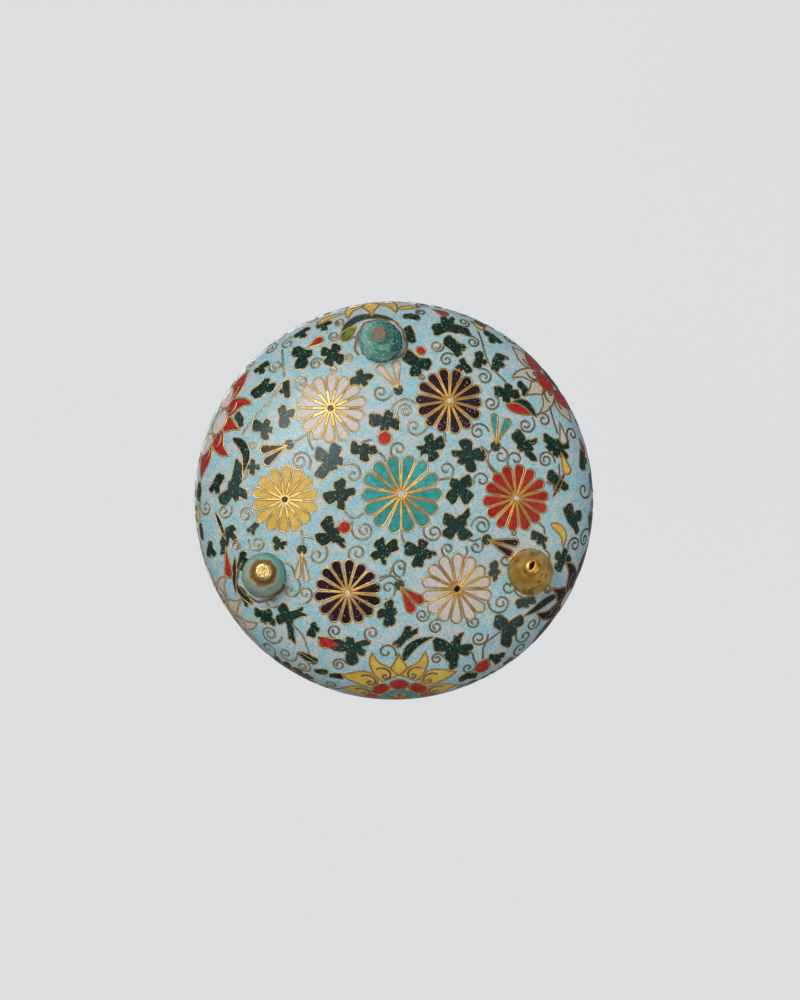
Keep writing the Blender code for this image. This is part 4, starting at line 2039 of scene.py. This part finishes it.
@dataclass
class Wirework:
    """The gilt wires on all outlines, tendrils and stems, and the dark seam along each."""

    pattern: Pattern
    half_width: float = 0.175
    stroke_share: float = 1.20
    leaf_share: float = 0.58
    seam_half_width: float = 0.31
    crown_depth: float = 0.035
    edge_depth: float = 0.095
    seam_depth: float = 0.10
    tilt: float = math.radians(38)

    def visible_runs(self) -> list[tuple[Plan, bool, float]]:
        """Finds the stretches of wire that nothing covers.

        Returns:
            Each one's points, whether it closes on itself, and its thickness as a share of an outline's.
        """
        cells = self.pattern.grounds + self.pattern.cells
        flat = np.concatenate([cell.outline for cell in cells])
        order = np.concatenate([np.full(len(cell.outline), i) for i, cell in enumerate(cells)])
        shown = np.ones(len(flat), bool)
        for i, cell in enumerate(cells[len(self.pattern.grounds):], len(self.pattern.grounds)):
            under = np.flatnonzero((order < i) & shown & cell.near(flat))
            if len(under):
                shown[under[contains(cell.outline, flat[under])]] = False
            if cell.joined_to:
                own = np.flatnonzero(order == i)
                shown[own[contains(cell.joined_to.outline, flat[own])]] = False
        runs = []
        for i, cell in enumerate(cells):
            own = order == i
            thickness = self.leaf_share if cell.glaze is Glaze.LEAF else 1.0
            if cell.wired:
                runs += [(*found, thickness) for found in self._stretches(flat[own], shown[own], True)]
        later = {id(cell): i for i, cell in enumerate(cells)}
        for stroke in self.pattern.strokes:
            seen = np.ones(len(stroke.run), bool)
            begin = later[id(stroke.host)] + 1 if stroke.host else len(self.pattern.grounds)
            for cell in cells[begin:]:
                seen &= ~cell.holds(stroke.run)
            if stroke.host:
                seen &= contains(stroke.host.outline, stroke.run)
            runs += [(*found, self.stroke_share) for found in self._stretches(stroke.run, seen, False)]
        return runs

    @staticmethod
    def _stretches(points: Plan, shown: np.ndarray, closed: bool) -> list[tuple[Plan, bool]]:
        """Cuts a run where it is hidden, each stretch running one point on under what hides it.

        Args:
            points: the run.
            shown: True for each point that shows.
            closed: whether the run closes on itself.

        Returns:
            Each stretch, and whether it closes on itself.
        """
        if shown.all():
            return [(points, closed)]
        if not shown.any():
            return []
        count = len(points)
        if closed:
            begin = int(np.flatnonzero(~shown)[0])
            points = np.roll(points, -begin)
            shown = np.roll(shown, -begin)
        found = []
        i = 0
        while i < count:
            if not shown[i]:
                i += 1
                continue
            end = i
            while end < count and shown[end]:
                end += 1
            index = np.arange(max(i - 1, 0), end + 1 if end < count or closed else end)
            stretch = points[index % count]
            if len(stretch) > 1:
                found.append((stretch, False))
            i = end
        return found

    def strip(
        self, run: Plan, closed: bool, share: float, rows: Sequence[tuple[float, float, float]]
    ) -> tuple:
        """Sweeps a few side by side lines along a run.

        Args:
            run: the wire's points on the plan.
            closed: whether it closes on itself.
            share: its thickness as a share of an outline's.
            rows: for each line its offset to the side, its depth and its normal's tilt.

        Returns:
            Corners, normals and faces.
        """
        middle = self.pattern.surface.places(run, 0.0)
        normal = self.pattern.surface.normals(run)
        ahead = np.roll(middle, -1, axis=0) - middle
        if not closed:
            ahead[-1] = ahead[-2]
        ahead /= np.maximum(np.linalg.norm(ahead, axis=1), TINY)[:, None]
        behind = np.roll(ahead, 1, axis=0)
        if not closed:
            behind[0] = ahead[0]
        mean = (ahead + behind) / 2
        size = np.linalg.norm(mean, axis=1)[:, None]
        side = np.cross(normal, mean / np.maximum(size, TINY))
        side /= np.maximum(size, 0.7)
        corners, normals = [], []
        for offset, depth, tilt in rows:
            corners.append(middle + side * offset * share - normal * depth)
            normals.append(normal * math.cos(tilt) + side * math.sin(tilt))
        count, wide = len(run), len(rows)
        grid = np.arange(count * wide).reshape(wide, count)
        last = grid[:, :1] if closed else grid[:, :0]
        wrapped = np.concatenate([grid, last], axis=1)
        faces = np.stack(
            [wrapped[:-1, :-1], wrapped[:-1, 1:], wrapped[1:, 1:], wrapped[1:, :-1]], axis=-1
        ).reshape(-1, 4)
        return np.concatenate(corners), np.concatenate(normals), faces

    def lines(self) -> dict[str, list[tuple[float, float, float]]]:
        """The rows that each kind of strip is swept from."""
        wire = [
            (-self.half_width, self.edge_depth, -self.tilt),
            (0.0, self.crown_depth, 0.0),
            (self.half_width, self.edge_depth, self.tilt),
        ]
        seam = [(-self.seam_half_width, self.seam_depth, 0.0), (self.seam_half_width, self.seam_depth, 0.0)]
        return {"gilt_wires": wire, "wire_seams": seam, "tendril_wires": wire}

    def build(self) -> None:
        """Makes the wires and their seams, zone by zone."""
        belt = self.pattern.surface.belt
        runs = self.visible_runs()
        reach = np.array([np.abs(run).mean() / belt for run, *_ in runs])
        finishes = {
            "gilt_wires": WireFinish().make(),
            "tendril_wires": WireFinish("tendril_wire", *FADED_GILT).make(),
            "wire_seams": SeamFinish().make(),
        }
        for zone, (low, high) in WIRE_ZONES.items():
            here = [run for run, far in zip(runs, reach) if low <= far < high]
            for kind, rows in self.lines().items():
                chosen = here
                if kind != "wire_seams":
                    is_tendril = kind == "tendril_wires"
                    chosen = [run for run in here if (run[2] == self.stroke_share) == is_tendril]
                parts = [self.strip(*run, rows) for run in chosen]
                starts = np.cumsum([0] + [len(part[0]) for part in parts[:-1]])
                corners = np.concatenate([part[0] for part in parts])
                normals = np.concatenate([part[1] for part in parts])
                faces = np.concatenate([part[2] + start for part, start in zip(parts, starts)])
                normals /= np.linalg.norm(normals, axis=1)[:, None]
                piece = make_piece(f"{kind}_{zone}", corners, faces, finishes[kind], normals)
                attach(piece)


def turned_faces(rows: int, segments: int) -> list[tuple[int, ...]]:
    """The faces of a turned shape whose first and last rows are single points on the axis.

    Args:
        rows: how many rows it has, with those two.
        segments: how many corners each other row has.

    Returns:
        The numbers of each face's corners.
    """
    faces = []
    last = 1 + (rows - 2) * segments
    for j in range(segments):
        k = (j + 1) % segments
        faces.append((0, 1 + j, 1 + k))
        for i in range(rows - 3):
            a, b = 1 + i * segments, 1 + (i + 1) * segments
            faces.append((a + j, b + j, b + k, a + k))
        a = 1 + (rows - 3) * segments
        faces.append((a + j, last, a + k))
    return faces


@dataclass
class BowlMetal:
    """The bowl's copper under the enamel, with its gilt lip and inside."""

    surface: Surface
    under_enamel: float = 0.4
    every: int = 8
    segments: int = 180

    def build(self) -> None:
        """Turns the metal's outline and makes it stand for the CAD vessel."""
        inside = smooth_run(self.surface.lip_run[::-1], 5)
        chosen = slice(None, None, -self.every)
        outside = self.surface.run[chosen] - self.surface.normal[chosen] * self.under_enamel
        outside[:, 0] = np.maximum(outside[:, 0], 0.0)
        outline = np.concatenate([inside, outside])
        outline[:, 1] = np.minimum(outline[:, 1], CAD_BOX[1][2] / MM)
        if outline[-1, 0] > 0:
            bottom = (0.0, self.surface.run[0, 1] + self.under_enamel)
            outline = np.vstack([outline, bottom])
        turns = TURN * np.arange(self.segments) / self.segments
        corners = [(0.0, 0.0, outline[0, 1])]
        for radius, height in outline[1:-1]:
            ring = np.stack([radius * np.cos(turns), radius * np.sin(turns), np.full(len(turns), height)], 1)
            corners.extend(ring)
        corners.append((0.0, 0.0, outline[-1, 1]))
        faces = turned_faces(len(outline), self.segments)
        metal = GiltFinish(
            "gilt_bowl_metal",
            gold=srgb(176, 134, 72),
            bright=srgb(206, 164, 92),
            brown=srgb(112, 80, 42),
            spot_share=0.12,
            roughness=0.44,
        ).make()
        piece = make_piece("gilt_bowl_metal", np.array(corners), faces, metal)
        attach(piece, "vessel")


@dataclass
class Foot:
    """One cast foot: a worn tip, a knob, and a dome soldered to the bowl. Lengths are in millimetres."""

    node: str
    slot: str
    surface: Surface
    crust: float = 0.1
    grain: float = 2.0
    cone: float = 0.0
    shade_turn: float = 0.0
    knob: float = 1.0
    tip_radius: float = 2.0
    knob_radius: float = 2.9
    knob_height: float = 2.7
    fillet: float = 1.2
    dome_height: float = 12.4
    solder: float = 0.55
    sink: float = 0.3
    slim: float = 0.0
    shift: tuple[float, float] = (0.0, 0.0)
    lean: tuple[float, float] = (0.0, 0.0)
    lean_height: float = 9.0
    pit: tuple[float, float, float, float] | None = None
    segments: int = 112
    seed: float = 0.0

    def outline(self) -> np.ndarray:
        """The foot's outline from its tip to where its dome is full."""
        low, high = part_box(self.node)
        full = (high.x - low.x) / MM / 2 - self.slim
        tip = self.tip_radius
        round_ = self.knob_radius - tip
        turns = np.linspace(0, math.pi / 2, 7)
        radii = [np.linspace(0.0, tip, 9), tip + round_ * np.sin(turns[1:])]
        heights = [np.zeros(9), round_ * (1 - np.cos(turns[1:]))]
        hollow = self.fillet * self.knob
        start = self.knob_radius + hollow
        radii.append(start - hollow * np.cos(turns))
        heights.append(self.knob_height - hollow * (1 - np.sin(turns)))
        dome = np.linspace(0, math.pi / 2, 26)[1:]
        rise = self.dome_height - self.knob_height
        radii.append(start + (full - start) * np.sin(dome))
        bulge = (1 - self.cone) * (1 - np.cos(dome)) + self.cone * np.sin(dome) ** 1.15
        heights.append(self.knob_height + rise * bulge)
        return np.stack([np.concatenate(radii), np.concatenate(heights)], axis=1)

    def build(self, material: bpy.types.Material) -> None:
        """Turns the foot, roughens it, seats it on the bowl and makes it stand for the CAD foot.

        Args:
            material: its finish.
        """
        low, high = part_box(self.node)
        middle = ((low.x + high.x) / MM / 2 + self.shift[0], (low.y + high.y) / MM / 2 + self.shift[1])
        outline = self.outline()
        full = outline[-1, 0]
        rows = []
        marks = {"tip": [], "ring": [], "rim": [], "shade": [], "pit": []}
        skirt = [(full + self.solder * share**2, share) for share in np.linspace(0.1, 1.0, 9)]
        steps = [(radius, height, 0.0) for radius, height in outline]
        steps += [(radius, outline[-1, 1], share) for radius, share in skirt]
        steps.append((full + self.solder + 0.5, outline[-1, 1], 1.3))
        turns = TURN * np.arange(self.segments) / self.segments
        for radius, height, share in steps:
            for turn in turns if radius > 0 else (0.0,):
                rows.append(self._corner(middle, radius, height, share, float(turn), marks))
        top = [(middle[0], middle[1], self.surface.underside(*middle) + 0.8)]
        for name, values in marks.items():
            values.append(1.0 if name == "rim" else 0.0)
        corners = np.array(rows + top)
        faces = [face[::-1] for face in turned_faces(len(steps) + 1, self.segments)]
        numbers = {name: np.array(values) for name, values in marks.items()}
        piece = make_piece(self.node + "_cast", corners, faces, material, None, numbers)
        attach(piece, self.node)

    def _corner(
        self,
        middle: tuple[float, float],
        radius: float,
        height: float,
        share: float,
        turn: float,
        marks: dict[str, list[float]],
    ) -> tuple[float, float, float]:
        """Works out one corner of the foot, with its crust, pit and seat.

        Args:
            middle: the foot's own axis.
            radius: the corner's distance from it.
            height: the corner's height on the smooth outline.
            share: how far over the solder it is, from 0 at the dome to 1 at the bowl and more within it.
            turn: its direction from the axis.
            marks: the numbers for the finish, which this adds to.

        Returns:
            The corner's place.
        """
        place = Vector((radius * math.cos(turn), radius * math.sin(turn), height + self.seed))
        rough = noise.fractal(place / self.grain, 0.9, 2.1, 4) * self.crust
        wide = radius + rough * min(radius / 3.0, 1.0)
        leaning = max(0.0, 1.0 - height / self.lean_height) ** 1.5
        x = middle[0] + wide * math.cos(turn) + self.lean[0] * leaning
        y = middle[1] + wide * math.sin(turn) + self.lean[1] * leaning
        seat = self.surface.underside(x, y)
        sunk = seat + self.sink
        tall = min(height + abs(rough) * 0.5 * min(height, 1.0), sunk)
        if share > 0:
            tall = tall + (sunk - tall) * min(share, 1.0) if tall < sunk else sunk
            wave = 0.25 * noise.noise(place / 1.3)
            tall = min(tall, sunk - 0.45 * max(0.0, 1.0 - share) + wave * 0.4)
        if share > 1:
            tall = seat + 0.6
        hollow = 0.0
        if self.pit and height < 6:
            across, along, wide_pit, deep = self.pit
            beside = (x - middle[0] - across) + 0.35 * (y - middle[1] - along)
            off = math.hypot(beside * 2.0, y - middle[1] - along) / wide_pit
            hollow = max(0.0, 1 - off * off) ** 0.7
            tall += deep * hollow
        marks["pit"].append(hollow)
        # The shade mark: high on the side that shade_turn points to, where the finish lays its dark side
        # colour (painted shade on the verdigris foot).
        marks["shade"].append(0.5 + 0.5 * math.cos(turn - self.shade_turn) * min(radius / 4.0, 1.0))
        bare = max(0.0, min(1.0, (self.knob_radius - radius) / 0.5 + 0.4))
        marks["tip"].append(bare if height < 1.5 else 0.0)
        near = math.exp(-(((radius - self.knob_radius - 0.6) / 1.3) ** 2))
        marks["ring"].append(near)
        marks["rim"].append(max(0.0, 1.0 - (seat - tall) / 1.6))
        return (x, y, max(tall, 0.0))


@dataclass
class FootSeamAndShadow:
    """A dark copper-brown arc in the enamel round a foot, used for a real copper seam and for a painted
    shadow. Lengths are in millimetres.
    """

    name: str
    middle: complex
    radius: float
    begin: float
    end: float
    half_width: float = 0.42

    def build(self, wirework: Wirework, material: bpy.types.Material, slot: str) -> None:
        """Lays the arc on the bowl.

        Args:
            wirework: what sweeps a strip over the bowl.
            material: its finish.
            slot: not used.
        """
        surface = wirework.pattern.surface
        turns = np.linspace(self.begin, self.end, 60)
        wobble = 1 + 0.03 * np.sin(5 * turns) + 0.02 * np.sin(11 * turns + 1)
        flat = self.middle + self.radius * wobble * np.exp(1j * turns)
        lower = slice(0, surface.widest + 1)
        reach = np.interp(np.abs(flat), surface.run[lower, 0], surface.reach[lower])
        run = reach * flat / np.abs(flat)
        half = self.half_width
        rows = [(-half, 0.10, -0.5), (-half * 0.4, 0.02, -0.2), (half * 0.4, 0.02, 0.2), (half, 0.10, 0.5)]
        corners, normals, faces = wirework.strip(run, False, 1.0, rows)
        normals /= np.linalg.norm(normals, axis=1)[:, None]
        attach(make_piece(self.name, corners, faces, material, normals))


@dataclass
class Studio:
    """A plain pale setting: a floor well under the camera, a pale surround and soft light."""

    floor_height: float = -1.3
    floor_radius: float = 2.3
    surround_radius: float = 2.6
    ambient: float = 0.30
    surround_glow: float = 0.92

    def build(self) -> None:
        """Makes the floor, the surround, the world's light and the lamps."""
        pale = PlainFinish("pale_floor", srgb(226, 226, 224)).make()
        bpy.ops.mesh.primitive_circle_add(
            vertices=96, radius=self.floor_radius, fill_type="NGON", location=(0, 0, self.floor_height)
        )
        floor = bpy.context.object
        floor.name = "pale_floor"
        floor.data.materials.append(pale)
        bpy.ops.mesh.primitive_uv_sphere_add(segments=64, ring_count=32, radius=self.surround_radius)
        surround = bpy.context.object
        surround.name = "pale_surround"
        glowing = PlainFinish("pale_surround", srgb(228, 229, 230), glow=self.surround_glow).make()
        surround.data.materials.append(glowing)
        surround.data.shade_smooth()
        surround.visible_diffuse = False
        surround.visible_glossy = False
        surround.visible_transmission = False
        surround.visible_shadow = False
        world = bpy.data.worlds.new("soft_surroundings")
        world.use_nodes = True
        sky = world.node_tree.nodes["Background"]
        sky.inputs["Color"].default_value = (0.93, 0.96, 1.0, 1.0)
        sky.inputs["Strength"].default_value = self.ambient
        bpy.context.scene.world = world
        bpy.context.scene.view_settings.view_transform = "Standard"
        self.lamp("key_softbox", (-0.42, -0.42, -1.0), 0.55, 9.0)
        self.lamp("fill_softbox", (0.9, 0.5, -0.75), 0.8, 3.0)
        self.lamp("top_softbox", (-0.25, -0.35, 1.2), 0.9, 6.0)
        log.info("studio ready")

    def lamp(self, name: str, place: tuple[float, float, float], size: float, power: float) -> None:
        """Adds a soft square lamp that faces the burner and isn't seen itself.

        Args:
            name: its name.
            place: where it is, in metres.
            size: its side in metres.
            power: its power in watts.
        """
        data = bpy.data.lights.new(name, "AREA")
        data.size = size
        data.energy = power
        made = bpy.data.objects.new(name, data)
        made.location = place
        made.rotation_euler = (-Vector(place)).to_track_quat("-Z", "Y").to_euler()
        made.visible_camera = False
        bpy.context.scene.collection.objects.link(made)


def build_feet(surface: Surface, wirework: Wirework) -> None:
    """Builds the three feet, each with its own wear, and a dark arc round two of them: the copper seam round
    the verdigris foot and a painted shadow round the worn foot.

    Args:
        surface: the bowl's outside.
        wirework: what sweeps a strip over the bowl.
    """
    gilt = GiltFinish("gilt_foot_metal", roughness=0.40).make()
    Foot(
        "foot_gilt",
        "gilt_foot",
        surface,
        crust=0.10,
        grain=3.0,
        cone=0.55,
        knob=0.0,
        tip_radius=1.2,
        knob_radius=2.6,
        knob_height=1.5,
        lean=(0.2, -1.0),
        pit=(0.1, -1.5, 1.6, 1.3),
        seed=3.0,
    ).build(gilt)
    worn = PatinaFinish(
        "worn_foot_patina",
        crust=srgb(142, 168, 140),
        pale=srgb(176, 188, 164),
        dark=srgb(104, 176, 166),
        ring=srgb(142, 98, 44),
        tip=srgb(232, 196, 128),
        tip_metallic=1.0,
        crust_roughness=0.62,
        grain=0.22,
    ).make()
    Foot(
        "foot_worn",
        "worn_foot",
        surface,
        crust=0.20,
        grain=2.6,
        shade_turn=math.radians(-50),
        slim=0.35,
        shift=(0.9, -0.4),
        lean=(0.1, -0.7),
        seed=11.0,
    ).build(worn)
    crusted = PatinaFinish(
        "verdigris_crust",
        crust=srgb(88, 170, 146),
        pale=srgb(162, 218, 200),
        dark=srgb(4, 100, 98),
        ring=srgb(102, 128, 100),
        tip=srgb(128, 102, 78),
        tip_metallic=0.3,
        crust_roughness=0.86,
        grain=0.95,
        ring_strength=0.45,
    ).make()
    Foot(
        "foot_verdigris",
        "verdigris_foot",
        surface,
        crust=0.40,
        grain=1.1,
        shade_turn=math.radians(-30),
        knob_radius=2.4,
        slim=0.5,
        shift=(-0.2, -0.3),
        lean=(-0.6, -1.3),
        seed=23.0,
    ).build(crusted)
    copper = SeamFinish("copper_seam_and_shadow", srgb(116, 84, 58), srgb(150, 122, 92)).make()
    # The verdigris foot's arc is its real copper seam; the worn foot's arc is a painted shadow on its side
    # away from the key lamp.
    for name, slot, radius, begin, end in (
        ("foot_verdigris", "verdigris_foot", 8.2, 150, 395),
        ("foot_worn", "worn_foot", 7.9, 20, 215),
    ):
        low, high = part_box(name)
        middle = complex(low.x + high.x, low.y + high.y) / 2 / MM
        seam = FootSeamAndShadow(name + "_seam", middle, radius, math.radians(begin), math.radians(end))
        seam.build(wirework, copper, slot)


def main() -> None:
    """Builds the looks piece by piece."""
    logging.basicConfig(level=logging.INFO, format="%(message)s")
    view = Viewpoint()
    view.place()
    Studio().build()
    surface = Surface()
    pattern = Pattern(surface)
    drawing = FlowerDrawing(pattern, view)
    hidden = HiddenSide(drawing)
    hidden.grounds()
    drawing.photographed()
    hidden.shoulder()
    hidden.neck_scroll()
    hidden.tendrils()
    EnamelSkin(pattern).build()
    wirework = Wirework(pattern)
    wirework.build()
    BowlMetal(surface).build()
    build_feet(surface, wirework)


if __name__ == "__main__":
    main()
